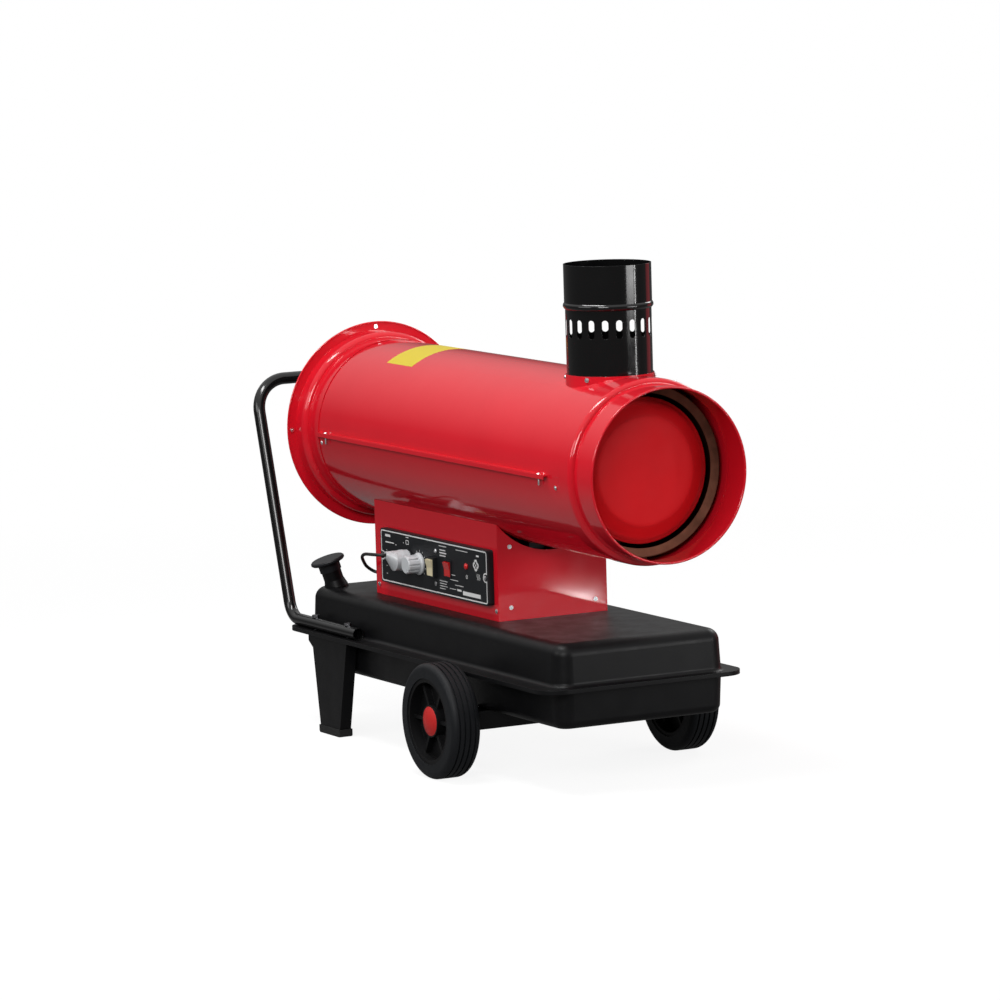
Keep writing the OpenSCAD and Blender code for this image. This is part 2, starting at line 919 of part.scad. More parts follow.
module outlet_collar() {
  turn = sleeve_r - outlet_r;
  bead_r = rim_bead_d / 2;
  color("firebrick") difference() {
    along_x(collar_x) rotate_extrude() {
      translate([sleeve_r - sheet_t, 0]) square([sheet_t, collar_band_l]);
      shoulder(sleeve_r, outlet_r, collar_band_l);
      translate([outlet_r - sheet_t, collar_band_l + turn - sheet_t])
        square([sheet_t, collar_l - collar_band_l - turn + sheet_t - bead_r]);
      translate([outlet_r - bead_r, collar_l - bead_r]) circle(r = bead_r);
    }
    at_band_screws() screw_hole();
  }
}

module pan_screws() {
  color("silver") {
    at_lip_screws() pan_screw(lip_screw_l);
    at_bracket_screws() pan_screw(sheet_screw_l);
    at_guard_screws() pan_screw(sheet_screw_l);
    at_band_screws() pan_screw(sheet_screw_l);
    at_saddle_screws() pan_screw(sheet_screw_l);
    at_plate_screws() pan_screw(sheet_screw_l);
    at_side_screws() pan_screw(sheet_screw_l);
    at_panel_screws() pan_screw(panel_screw_l);
    at_switch_screws() pan_screw(switch_screw_l);
  }
}

module hex_bolts() {
  color("dimgray") {
    at_handle_bolts() {
      hex_bolt(bolt_d, bolt_head_d, handle_bolt_l);
      translate([0, 0, leg_top_z - leg_t - bolt_head_h - handle_z - handle_r])
        cylinder(h = bolt_head_h, d = bolt_head_d, $fn = 6);
    }
    at_foot_bolts() hex_bolt(foot_bolt_d, foot_bolt_head_d, foot_bolt_l);
  }
}

// Bracket foot on z = 0 reaching down to a given depth, open along Y
module bracket_foot(l, w, depth, t) {
  translate([-l / 2, -w / 2, -depth]) difference() {
    cube([l, w, depth]);
    translate([t, -cut, -t]) cube([l - 2 * t, w + 2 * cut, depth]);
  }
}

module inner_liner() {
  lip_r = liner_lip_d / 2;
  foot_depth = foot_top_r - liner_r + liner_t / 2;
  color("rosybrown") difference() {
    union() {
      along_x(liner_x0) tube(liner_r, liner_r - liner_t, liner_l);
      along_x(liner_x0) rotate_extrude()
        polygon([
          [liner_r - liner_t / 2, liner_l],
          [lip_r, liner_l - liner_lip_back],
          [lip_r, liner_l - liner_lip_back - liner_t],
          [liner_r - liner_t / 2, liner_l - liner_t]
        ]);
      on_casing(liner_screw_x, bracket_angles, foot_top_r)
        bracket_foot(bracket_foot_l, bracket_foot_w, foot_depth, bracket_foot_t);
      on_casing(liner_rear_screw_x, liner_rear_angles, foot_top_r)
        bracket_foot(bracket_foot_l, bracket_foot_w, foot_depth, bracket_foot_t);
    }
    translate([flue_x, 0, axis_h]) cylinder(h = casing_d, r = stub_r + seat);
    at_bracket_screws() screw_hole();
  }
}

module heat_exchanger() {
  color("dimgray") difference() {
    union() {
      along_x(drum_x0) tube(drum_r, drum_r - drum_t, drum_l);
      along_x(drum_x0) cylinder(h = drum_t, r = drum_r - drum_t / 2);
      for (x = stay_stations)
        on_casing(x, stay_angles, stay_top_r)
          bracket_foot(stay_l, stay_w, stay_top_r - drum_r + drum_t / 2, drum_t);
    }
    along_x(drum_x0 - cut, 0, blast_z) cylinder(h = drum_t + 2 * cut, r = blast_r + seat);
    translate([flue_x, 0, axis_h]) cylinder(h = drum_d, r = stub_r + seat / 2);
  }
}

module exchanger_cap() {
  flat_r = cover_flat_d / 2;
  color("red") along_x(cover_edge_x) {
    rotate_extrude() polygon([
      [0, cover_rise],
      [flat_r, cover_rise],
      [cover_r, 0],
      [cover_r, -cover_skirt_l],
      [cover_r - drum_t, -cover_skirt_l],
      [cover_r - drum_t, -drum_t / 2],
      [flat_r, cover_rise - drum_t],
      [0, cover_rise - drum_t]
    ]);
    rotate_extrude() translate([cover_r - drum_t / 2, 0]) circle(r = cover_bead_r);
  }
}

module combustion_chamber() {
  color("slategray") difference() {
    union() {
      along_x(chamber_x0, 0, chamber_z) tube(chamber_r, chamber_r - chamber_t, chamber_l);
      along_x(chamber_x0 + chamber_l - chamber_t, 0, chamber_z)
        cylinder(h = chamber_t, r = chamber_r - chamber_t / 2);
      translate([chamber_x0 + chamber_l - chamber_foot_in, -chamber_foot_w / 2, chamber_foot_z])
        cube([chamber_foot_l, chamber_foot_w, chamber_z - chamber_r + chamber_t / 2 - chamber_foot_z]);
    }
    translate([chamber_x0 + chamber_port_in, -chamber_port_w / 2, chamber_z])
      cube([chamber_port_l, chamber_port_w, chamber_d]);
  }
}

module flue_stub() {
  base_z = axis_h + sqrt(drum_r * drum_r - stub_r * stub_r) - stub_sink;
  color("gray") difference() {
    translate([flue_x, 0, base_z]) tube(stub_r, stub_r - stub_t, stub_top_z - base_z);
    at_saddle_screws() screw_hole();
  }
}

module flue_fitting() {
  bead_mid = flue_bead_z - flue_base_z + flue_bead_h / 2;
  bead_r = flue_bead_h / 2;
  half = bead_r * sin(bead_join_angle);
  color("#1c1d20") difference() {
    translate([flue_x, 0, flue_base_z]) rotate_extrude() {
      translate([flue_low_r - flue_t, 0]) square([flue_t, bead_mid - half]);
      intersection() {
        translate([flue_r + flue_bead_out - bead_r, bead_mid]) difference() {
          circle(r = bead_r);
          circle(r = bead_r - flue_t);
        }
        translate([flue_low_r - flue_t, 0]) square([flue_r, flue_l]);
      }
      translate([flue_r - flue_t, bead_mid + half]) square([flue_t, flue_l - bead_mid - half]);
    }
    for (k = [0 : slot_count - 1])
      translate([flue_x, 0, flue_top_z - slot_drop]) rotate([0, 90, slot_turn + k * 360 / slot_count])
        draught_slot();
    at_saddle_screws() screw_hole();
  }
}

// Cut of one draught slot, outward along Z and upright along X
module draught_slot() {
  reach = (slot_h - slot_w) / 2;
  for (s = [-1, 1])
    translate([s * reach, 0, flue_r / 2]) cylinder(h = flue_r, d = slot_w, $fn = 48);
  translate([-reach, -slot_w / 2, flue_r / 2]) cube([2 * reach, slot_w, flue_r]);
}

module axial_fan() {
  fan_r = fan_d / 2;
  hub_radius = fan_hub_d / 2;
  color("lightgray") along_x(fan_x0) difference() {
    union() {
      cylinder(h = fan_w - fan_hub_in, r = hub_radius);
      for (k = [0 : fan_blades - 1])
        rotate([0, 0, k * 360 / fan_blades]) intersection() {
          tube(fan_r, hub_radius - cut, fan_w);
          linear_extrude(fan_w) polygon([
            [hub_radius - cut, -blade_root_w / 2],
            [fan_r + cut, -blade_tip_w / 2],
            [fan_r + cut, blade_tip_w / 2],
            [hub_radius - cut, blade_root_w / 2]
          ]);
          translate([0, -blade_bow_r * sin(blade_pitch), fan_w / 2 + blade_bow_r * cos(blade_pitch)])
            rotate([0, 90, 0]) tube(blade_bow_r, blade_bow_r - blade_t, fan_r + cut);
        }
    }
    translate([0, 0, -cut]) cylinder(h = fan_w + 2 * cut, r = shaft_r + play);
    translate([0, 0, fan_hub_in]) tube(hub_radius - fan_hub_wall, hub_radius / 2, fan_w);
  }
}

module motor_shaft() {
  color("silver") along_x(shaft_x0) cylinder(h = shaft_x1 - shaft_x0, r = shaft_r);
}

module burner_impeller() {
  impeller_r = impeller_d / 2;
  color("lightgray") along_x(impeller_x0) difference() {
    union() {
      translate([0, 0, impeller_w - vane_t]) cylinder(h = vane_t, r = impeller_r);
      tube(impeller_r, impeller_r - vane_l, vane_t);
      cylinder(h = impeller_w, r = shaft_r + impeller_hub_t);
      for (k = [0 : impeller_blades - 1])
        rotate([0, 0, k * 360 / impeller_blades]) translate([impeller_r - vane_l / 2, 0, 0])
          rotate([0, 0, vane_turn]) translate([-vane_l / 2, 0, 0])
            cube([vane_l * cos(vane_turn), vane_t, impeller_w]);
    }
    translate([0, 0, -cut]) cylinder(h = impeller_w + 2 * cut, r = shaft_r + play);
  }
}

module motor() {
  color("slategray") along_x(motor_x0) difference() {
    union() {
      rotate_extrude() polygon([
        [0, 0],
        [motor_r, 0],
        [motor_r, motor_l - motor_nose_l],
        [motor_r - motor_nose_l, motor_l],
        [0, motor_l]
      ]);
      translate([-motor_r - motor_box_h, -motor_box_w / 2, motor_l / 2 - motor_box_w / 2])
        cube([motor_r, motor_box_w, motor_box_w]);
    }
    translate([0, 0, -cut]) cylinder(h = motor_l + 2 * cut, r = shaft_r + play);
  }
}

module motor_bracket() {
  ring_in = motor_r + seat;
  front_x = bracket_x + bracket_foot_l / 2;
  color("dimgray") difference() {
    union() {
      along_x(front_x - bracket_ring_w) tube(ring_in + bracket_t, ring_in, bracket_ring_w);
      on_casing(front_x, bracket_angles, foot_top_r) {
        translate([-bracket_foot_l, -bracket_foot_w / 2, -bracket_t])
          cube([bracket_foot_l, bracket_foot_w, bracket_t]);
        translate([bracket_arm_in - bracket_ring_w, -bracket_t / 2, ring_in + bracket_t / 2 - foot_top_r])
          cube([bracket_ring_w - 2 * bracket_arm_in, bracket_t, foot_top_r - ring_in - bracket_t]);
      }
    }
    at_bracket_screws() screw_hole();
  }
}

// Outline of the burner's fan housing, which widens down to the blast tube
module scroll_outline(inset) {
  r = scroll_d / 2 - inset;
  neck = blast_r + scroll_lip - inset;
  circle(r = r);
  translate([blast_drop, 0]) circle(r = neck);
  translate([0, -neck]) square([blast_drop, 2 * neck]);
}

module burner_housing() {
  color("darkgray") along_x(scroll_x0) difference() {
    union() {
      linear_extrude(scroll_w) scroll_outline(0);
      translate([0, 0, -spigot_l]) cylinder(h = spigot_l + scroll_t / 2, r = spigot_r);
    }
    translate([0, 0, scroll_t]) linear_extrude(scroll_w - 2 * scroll_t) scroll_outline(scroll_t);
    translate([0, 0, -spigot_l - cut])
      cylinder(h = spigot_l + cut + 2 * scroll_t, r = spigot_r - spigot_wall);
    for (a = [0, 90])
      rotate([0, 0, a]) translate([-spigot_r - cut, -spigot_port_w / 2, -spigot_l - cut])
        cube([2 * spigot_r + 2 * cut, spigot_port_w, spigot_l + cut - seat]);
    translate([0, 0, scroll_w / 2]) cylinder(h = scroll_w, r = shaft_r + shaft_end_gap);
    translate([blast_drop, 0, scroll_w / 2]) cylinder(h = scroll_w, r = blast_r - blast_t);
  }
}

module blast_tube() {
  color("darkgray") difference() {
    along_x(scroll_x1, 0, blast_z) tube(blast_r, blast_r - blast_t, blast_l);
    translate([pipe_x, 0, blast_z]) rotate([90, 0, 0]) cylinder(h = 2 * blast_r, d = pipe_d + seat);
  }
}

module flame_head() {
  disc_r = blast_r - blast_t - seat / 2;
  nozzle_x0 = head_disc_x - nozzle_l;
  color("goldenrod") {
    difference() {
      along_x(head_disc_x, 0, blast_z) cylinder(h = head_disc_t, r = disc_r);
      for (k = [0 : head_slots - 1])
        along_x(head_disc_x - cut, 0, blast_z) rotate([0, 0, k * 360 / head_slots])
          translate([disc_r / 2, -head_slot_w / 2, 0])
            cube([disc_r / 3, head_slot_w, head_disc_t + 2 * cut]);
    }
    along_x(nozzle_x0, 0, blast_z) cylinder(h = nozzle_l + head_disc_t + nozzle_out, r = nozzle_r);
    along_x(pipe_x, 0, blast_z) cylinder(h = nozzle_x0 - pipe_x + nozzle_out, d = pipe_d);
    translate([pipe_x, 0, blast_z]) {
      sphere(d = pipe_d);
      rotate([90, 0, 0]) cylinder(h = blast_r + pipe_out, d = pipe_d);
    }
  }
  color("white") for (s = [-1, 1])
    along_x(nozzle_x0, s * electrode_y, blast_z + electrode_up)
      cylinder(h = nozzle_l + head_disc_t + electrode_out, d = electrode_d);
}

module fuel_pump() {
  color("darkgray") along_x(scroll_x1) difference() {
    union() {
      translate([-pump_w / 2, -pump_w / 2, 0]) cube([pump_w, pump_w, pump_l]);
      translate([0, 0, pump_l]) cylinder(h = pump_cover_h, r = pump_w / 2 - pump_cover_in);
    }
    translate([0, 0, -cut]) cylinder(h = shaft_x1 - scroll_x1 + shaft_end_gap + cut, r = shaft_r + play);
  }
}

module solenoid_valve() {
  color("dimgray") translate([pipe_x, 0, axis_h + pump_w / 2]) {
    cylinder(h = coil_h, r = coil_r);
    translate([0, 0, coil_h]) cylinder(h = coil_nut_h, r = coil_r / 2, $fn = 6);
    translate([-coil_r, -coil_r / 2, coil_h / 4]) cube([2 * coil_r + coil_plug_l, coil_r, coil_h / 2]);
  }
}

module fuel_filter() {
  color("lightgray") translate([pipe_x, pipe_y, filter_z]) {
    cylinder(h = filter_h, r = filter_r);
    translate([0, 0, filter_h]) cylinder(h = filter_boss_h, r = filter_r / 2);
    translate([0, 0, -filter_boss_h]) cylinder(h = filter_boss_h, r = filter_r / 2);
  }
}

module fuel_lines() {
  side_y = pump_w / 2;
  color("peru") {
    translate([pipe_x, pipe_y, tank_top_h]) cylinder(h = filter_z - filter_boss_h - tank_top_h, d = pipe_d);
    translate([pipe_x, pipe_y, filter_z + filter_h + filter_boss_h])
      cylinder(h = pipe_z - filter_z - filter_h - filter_boss_h, d = pipe_d);
    translate([pipe_x, pipe_y, pipe_z]) {
      sphere(d = pipe_d);
      rotate([90, 0, 0]) cylinder(h = pipe_y - side_y, d = pipe_d);
    }
    translate([pipe_x, -side_y, pipe_z]) rotate([90, 0, 0]) cylinder(h = -pipe_down_y - side_y, d = pipe_d);
    translate([pipe_x, pipe_down_y, pipe_z]) sphere(d = pipe_d);
    translate([pipe_x, pipe_down_y, blast_z]) {
      cylinder(h = pipe_z - blast_z, d = pipe_d);
      sphere(d = pipe_d);
      rotate([-90, 0, 0]) cylinder(h = pipe_d / 2, d = pipe_d);
    }
  }
}

module fan_thermostat() {
  color("black") translate([limit_x, -limit_w / 2, axis_h - casing_r - seat - limit_h])
    cube([limit_l, limit_w, limit_h]);
}

module ignition_transformer() {
  color("#2b2b2e") translate([transformer_x, -transformer_w / 2, tank_top_h]) {
    cube([transformer_l, transformer_w, transformer_h]);
    for (s = [-1, 1])
      translate([transformer_l / 2, transformer_w / 2 + s * transformer_w / 4, transformer_h])
        cylinder(h = terminal_h, d = terminal_d);
  }
}

module burner_control() {
  color("dimgray") translate([relay_x, limit_w / 2 + relay_gap, tank_top_h]) {
    cube([relay_l, relay_w, relay_h]);
    translate([relay_l / 2, relay_w / 2, relay_h]) cylinder(h = terminal_h / 2, d = terminal_d);
  }
}

// Space of the casing that the box's sheets stand clear of, and the front plate's cut-out
module casing_clearance() {
  along_x(box_x0 - cut) cylinder(h = box_l + 2 * cut, r = casing_r + seat);
}

module front_cutout() {
  along_x(plate_x - 2 * box_t, 0, axis_h - casing_r - cutout_gap + cutout_r)
    cylinder(h = box_tab, r = cutout_r);
}

module control_box() {
  wall_h = axis_h - tank_top_h;
  color("firebrick") difference() {
    union() {
      both_sides() translate([box_x0, -box_y, tank_top_h]) {
        cube([plate_x - box_x0, box_t, wall_h]);
        cube([plate_x - box_x0, box_foot, box_t]);
      }
      translate([box_x0, -box_y, tank_top_h]) cube([box_t, box_w, wall_h]);
      both_sides() translate([plate_x - box_t, -box_y, tank_top_h]) cube([box_t, box_tab, wall_h]);
    }
    casing_clearance();
    front_cutout();
    translate([panel_x0 + window_margin, -box_y - cut, panel_z0 + window_margin])
      cube([panel_l - 2 * window_margin, box_t + 2 * cut, panel_h - 2 * window_margin]);
    at_plate_screws() screw_hole();
    at_side_screws() screw_hole();
    at_panel_screws() screw_hole(panel_screw_l);
    at_foot_bolts() foot_bolt_hole();
    at_glands() translate([0, 0, -2 * cut]) cylinder(h = 4 * cut, d = gland_neck_d + 2 * seat);
  }
}

module front_plate() {
  color("firebrick") difference() {
    translate([plate_x, -box_y, tank_top_h]) cube([box_t, box_w, axis_h - tank_top_h]);
    casing_clearance();
    front_cutout();
    at_plate_screws() screw_hole();
  }
}

// Rectangle with round corners, its lower left corner at the origin
module rounded_rect(l, w, r) {
  translate([r, 0]) square([l - 2 * r, w]);
  translate([0, r]) square([l, w - 2 * r]);
  for (x = [r, l - r], y = [r, w - r]) translate([x, y]) circle(r = r);
}

// Block centred on the origin in X and Y, from z0 up
module block(l, w, z0, h) {
  translate([-l / 2, -w / 2, z0]) cube([l, w, h]);
}

// Hole in the panel for a round body
module panel_hole(x, z, d) {
  on_panel(x, z) translate([0, 0, -panel_t - cut]) cylinder(h = panel_t + 2 * cut, d = d + 2 * seat);
}

// Window in the panel for the frame of a rocker
module panel_window(x, z, w, h) {
  body_w = frame_body_w(w) + 2 * seat;
  on_panel(x, z) block(body_w, frame_body_h(h) + 2 * seat, -panel_t - cut, panel_t + 2 * cut);
}

module control_panel() {
  color("#17181b") difference() {
    on_panel(panel_x0, panel_z0) translate([0, 0, -panel_depth])
      linear_extrude(panel_depth) rounded_rect(panel_l, panel_h, panel_corner_r);
    on_panel(panel_x0 + panel_t, panel_z0 + panel_t) translate([0, 0, -panel_depth - cut])
      linear_extrude(panel_depth - panel_t + cut)
        rounded_rect(panel_l - 2 * panel_t, panel_h - 2 * panel_t, panel_corner_r - panel_t);
    panel_hole(socket_x, socket_z, socket_body_d);
    panel_hole(knob_x, knob_z, knob_bush_d);
    panel_hole(lamp_x, lamp_z, lamp_d - lamp_rim);
    panel_window(rocker_x, rocker_z, rocker_w, rocker_h);
    panel_window(lit_rocker_x, lit_rocker_z, lit_rocker_w, lit_rocker_h);
    at_panel_screws() screw_hole(panel_screw_l);
    at_switch_screws() screw_hole();
  }
}

module thermostat_socket() {
  color("#202124") on_panel(socket_x, socket_z) {
    cylinder(h = socket_t, d = socket_d);
    translate([0, 0, -socket_depth]) cylinder(h = socket_depth, d = socket_body_d);
  }
}

module thermostat_plug() {
  body_l = plug_l - plug_cone_l;
  color("gainsboro") on_panel(socket_x, socket_z, socket_t) {
    cylinder(h = body_l, d = plug_d);
    translate([0, 0, plug_ring_z]) cylinder(h = plug_ring_h, d = plug_d + plug_ring_out);
    hull() {
      translate([0, 0, body_l - plug_edge]) cylinder(h = plug_edge, d = plug_d, $fn = 32);
      translate([0, plug_cone_up, plug_l - plug_edge]) cylinder(h = plug_edge, d = plug_tip_d, $fn = 32);
    }
  }
}

// Point on the smooth curve between b and c
function curve_point(a, b, c, d, t) =
  (2 * b + (c - a) * t + (2 * a - 5 * b + 4 * c - d) * t * t + (3 * b - 3 * c + d - a) * t * t * t) / 2;

// Smooth path through a list of points, with its first and last stretch straight
function curve(p, steps) =
  let (n = len(p) - 1)
  concat(
    [p[0]],
    [for (i = [1 : n - 2], s = [0 : steps - 1]) curve_point(p[i - 1], p[i], p[i + 1], p[i + 2], s / steps)],
    [p[n - 1], p[n]]
  );

function unit(v) = v / norm(v);

// Ring of a swept tube round point p, square to direction d
function tube_ring(p, d, r, sides) =
  let (u = unit(cross(d, [0, 0, 1])), v = unit(cross(d, u)))
  [for (j = [0 : sides - 1]) p + r * (cos(j * 360 / sides) * u + sin(j * 360 / sides) * v)];

// Tube swept along a path
module swept_tube(path, r, sides) {
  n = len(path) - 1;
  points = [
    for (k = [0 : n])
      let (d = path[min(k + 1, n)] - path[max(k - 1, 0)])
      each tube_ring(path[k], unit(d), r, sides)
  ];
  walls = [
    for (k = [0 : n - 1], j = [0 : sides - 1])
      let (a = k * sides + j, b = k * sides + (j + 1) % sides)
      each [[a, a + sides, b], [b, a + sides, b + sides]]
  ];
  ends = [
    for (j = [1 : sides - 2])
      each [[0, j, j + 1], [n * sides, n * sides + j + 1, n * sides + j]]
  ];
  polyhedron(points = points, faces = concat(walls, ends));
}

module jumper_lead() {
  color("#1a1a1a") swept_tube(curve(lead_points, lead_steps), lead_d / 2, lead_sides);
}

// Children on the two glands of the box's rear wall, their Z axis pointing rearward
module at_glands() {
  translate([box_x0, gland_y, gland_z]) rotate([0, -90, 0]) children();
  translate([box_x0, mains_gland_y, gland_z]) rotate([0, -90, 0]) children();
}

module cable_glands() {
  color("#202020") difference() {
    at_glands() {
      cylinder(h = gland_l / 2, d = gland_d, $fn = 6);
      cylinder(h = gland_l, d = gland_neck_d);
      translate([0, 0, -box_t - gland_nut_h]) cylinder(h = box_t + gland_nut_h, d = gland_neck_d);
      translate([0, 0, -box_t - gland_nut_h]) cylinder(h = gland_nut_h, d = gland_d, $fn = 6);
    }
    translate([box_x0 - gland_l - cut, mains_gland_y, gland_z]) rotate([0, 90, 0])
      cylinder(h = gland_l + box_t + gland_nut_h + 2 * cut, d = mains_hole_d);
  }
}

module thermostat_knob() {
  body_r = knob_d / 2;
  color("gainsboro") on_panel(knob_x, knob_z, knob_base_gap) {
    difference() {
      rotate_extrude() polygon([
        [0, 0],
        [knob_skirt_d / 2, 0],
        [knob_skirt_d / 2, knob_base_h],
        [body_r + knob_taper, 2 * knob_base_h],
        [body_r, knob_depth - knob_edge],
        [body_r - knob_edge, knob_depth],
        [0, knob_depth]
      ]);
      for (k = [0 : knob_flutes - 1])
        rotate([0, 0, k * 360 / knob_flutes]) translate([body_r + flute_out, 0, 2 * knob_base_h + flute_up])
          cylinder(h = knob_depth, d = flute_d);
    }
    translate([0, 0, -spindle_l]) cylinder(h = spindle_l + knob_base_h, d = spindle_d);
  }
}

module knob_switch() {
  color("#26272a") on_panel(knob_x, knob_z) difference() {
    union() {
      block(knob_switch_w, knob_switch_w, -panel_t - knob_switch_l, knob_switch_l);
      translate([0, 0, -panel_t - cut]) cylinder(h = panel_t + cut, d = knob_bush_d);
    }
    translate([0, 0, -spindle_l]) cylinder(h = spindle_l + cut, d = spindle_d + 2 * play);
  }
}

// Outside size of a rocker frame's body behind the panel
function frame_body_w(w) = w + 2 * seat + 2 * frame_skin;
function frame_body_h(h) = h + 2 * frame_gap + 2 * frame_skin;

// Frame of a rocker that is w wide and h high, standing off the panel by out
module rocker_frame(w, h, out) {
  difference() {
    union() {
      block(w + 2 * frame_wall, h + 2 * frame_wall, 0, out);
      block(frame_body_w(w), frame_body_h(h), -frame_depth, frame_depth + out / 2);
    }
    block(w + 2 * seat, h + 2 * frame_gap, frame_floor - frame_depth, frame_depth + out);
    translate([0, 0, out - rocker_pivot_in]) rotate([0, 90, 0])
      cylinder(h = w + 2 * (rocker_pin_l + seat), d = rocker_pin_d + 2 * play, center = true);
  }
}

module rocker_frames() {
  color("#101113") {
    on_panel(rocker_x, rocker_z) rocker_frame(rocker_w, rocker_h, rocker_frame_h);
    on_panel(lit_rocker_x, lit_rocker_z) rocker_frame(lit_rocker_w, lit_rocker_h, lit_frame_h);
  }
}

// Rocker in its frame, tilted so that its upper end stands out
module rocker(w, h, out) {
  face = rocker_pivot_in + rocker_proud;
  translate([0, 0, out - rocker_pivot_in]) rotate([rocker_tilt, 0, 0]) {
    rotate([90, 0, 90]) translate([0, 0, -w / 2]) linear_extrude(w) polygon([
      [-h / 2, face],
      [0, face - rocker_dip],
      [h / 2, face],
      [h / 2, 0],
      [h / 2 - rocker_chamfer, -rocker_back],
      [rocker_chamfer - h / 2, -rocker_back],
      [-h / 2, 0]
    ]);
    rotate([0, 90, 0]) cylinder(h = w + 2 * rocker_pin_l, d = rocker_pin_d, center = true);
  }
}

module cream_rocker() {
  color("cornsilk") on_panel(rocker_x, rocker_z) rocker(rocker_w, rocker_h, rocker_frame_h);
}

module red_rocker() {
  color("crimson") on_panel(lit_rocker_x, lit_rocker_z) rocker(lit_rocker_w, lit_rocker_h, lit_frame_h);
}

module pilot_lamp() {
  color("red") on_panel(lamp_x, lamp_z) {
    cylinder(h = lamp_h, d = lamp_d);
    translate([0, 0, lamp_h]) intersection() {
      cylinder(h = lamp_d, d = lamp_d);
      translate([0, 0, -lamp_d / 2]) sphere(d = lamp_d * sqrt(2));
    }
    translate([0, 0, -lamp_depth]) cylinder(h = lamp_depth, d = lamp_d - lamp_rim);
  }
}

// Distance out to the centre of the blend between a tank wall and its flange
function root_x(root, inset) =
  wall_corner_r - inset + (root + inset - (tank_t + root) * sin(wall_draft)) / cos(wall_draft);

// Solid section of a tank wall, from its corner's centre outward
module wall_solid(h, edge_r, root, inset) {
  foot_r = wall_corner_r - inset;
  top = h - inset;
  r = edge_r - inset;
  edge_x = (foot_r * cos(wall_draft) - r - (top - r) * sin(wall_draft)) / cos(wall_draft);
  blend = root + inset;
  blend_x = root_x(root, inset);
  blend_z = tank_t + root;
  translate([edge_x, top - r]) intersection() {
    circle(r = r);
    square(r);
  }
  polygon([
    [0, 0],
    [foot_r, 0],
    [edge_x + r * cos(wall_draft), top - r + r * sin(wall_draft)],
    [edge_x, top - r],
    [edge_x, top],
    [0, top]
  ]);
  difference() {
    polygon([
      [foot_r - blend, 0],
      [blend_x, 0],
      [blend_x, blend_z],
      [blend_x - blend * cos(wall_draft), blend_z - blend * sin(wall_draft)]
    ]);
    translate([blend_x, blend_z]) circle(r = blend);
  }
}

// Sheet section of a tank wall, with the flange's first stretch
module wall_sheet(h, edge_r, root) {
  difference() {
    union() {
      wall_solid(h, edge_r, root, 0);
      square([root_x(root, 0) + root_lap, tank_t]);
    }
    wall_solid(h, edge_r, root, tank_t);
  }
}

// Children's section led round a rectangle with round corners
module led_round(l, w, r) {
  for (sx = [0, 1], sy = [0, 1])
    mirror([sx, 0, 0]) mirror([0, sy, 0]) translate([l / 2 - r, w / 2 - r, 0])
      rotate_extrude(angle = 90) children();
  for (s = [0, 1]) {
    mirror([s, 0, 0]) translate([l / 2 - r, w / 2 - r, 0]) rotate([90, 0, 0])
      linear_extrude(w - 2 * r) children();
    mirror([0, s, 0]) translate([r - l / 2, w / 2 - r, 0]) rotate([90, 0, 90])
      linear_extrude(l - 2 * r) children();
  }
}

// Open shell of sheet on z = 0, with its flange inset from the tank's full outline
module tank_shell(h, edge_r, root, flange_in) {
  hole_r = root_x(root, 0) + root_lap / 2;
  grow = hole_r - wall_corner_r;
  translate([wall_mid_x, 0, 0]) {
    led_round(wall_l, wall_w, wall_corner_r) wall_sheet(h, edge_r, root);
    block(wall_l - 2 * wall_corner_r, wall_w - 2 * wall_corner_r, h - tank_t, tank_t);
  }
  linear_extrude(tank_t) difference() {
    translate([tank_rear_x + flange_in, flange_in - tank_w / 2])
      rounded_rect(tank_l - 2 * flange_in, tank_w - 2 * flange_in, flange_corner_r - flange_in);
    translate([wall_x0 - grow, -grow - wall_w / 2])
      rounded_rect(wall_l + 2 * grow, wall_w + 2 * grow, hole_r);
  }
}

// Children in the filler's sloping frame, its Z axis out of the neck
module on_filler() {
  translate([filler_x, filler_y, tank_top_h]) rotate([neck_tilt, -neck_lean, 0]) children();
}

module tank_upper() {
  hem_drop = flange_hem - tank_t;
  color("#1b1b1c") difference() {
    translate([0, 0, tank_joint_h]) {
      tank_shell(tank_top_h - tank_joint_h, top_edge_r, root_r, 0);
      translate([0, 0, -hem_drop]) linear_extrude(hem_drop + tank_t / 2) difference() {
        translate([tank_rear_x, -tank_w / 2]) rounded_rect(tank_l, tank_w, flange_corner_r);
        translate([tank_rear_x + tank_t, tank_t - tank_w / 2])
          rounded_rect(tank_l - 2 * tank_t, tank_w - 2 * tank_t, flange_corner_r - tank_t);
      }
    }
    on_filler() translate([0, 0, -neck_sink]) cylinder(h = 2 * neck_sink, r = neck_r + seat);
    at_handle_bolts() handle_bolt_hole();
    at_foot_bolts() foot_bolt_hole();
  }
}

module tank_lower() {
  color("#1b1b1c") difference() {
    union() {
      translate([0, 0, tank_joint_h]) mirror([0, 0, 1])
        tank_shell(tank_joint_h - tank_floor_h, floor_edge_r, lower_root_r, lower_flange_in);
      axle_channel();
    }
    at_handle_bolts() handle_bolt_hole();
    translate([drain_x, 0, tank_floor_h - cut]) cylinder(h = tank_t + 2 * cut, d = drain_d + 2 * seat);
  }
}

// Channel under the tank's floor that carries the axle
module axle_channel() {
  base_z = axle_z - channel_drop;
  translate([axle_x - channel_w / 2, -channel_l / 2, base_z]) difference() {
    cube([channel_w, channel_l, tank_floor_h + tank_t / 2 - base_z]);
    translate([channel_t, channel_t, channel_t])
      cube([channel_w - 2 * channel_t, channel_l - 2 * channel_t, axle_z]);
    translate([channel_w / 2, -cut, axle_z - base_z]) rotate([-90, 0, 0])
      cylinder(h = channel_l + 2 * cut, r = axle_r + play);
  }
}

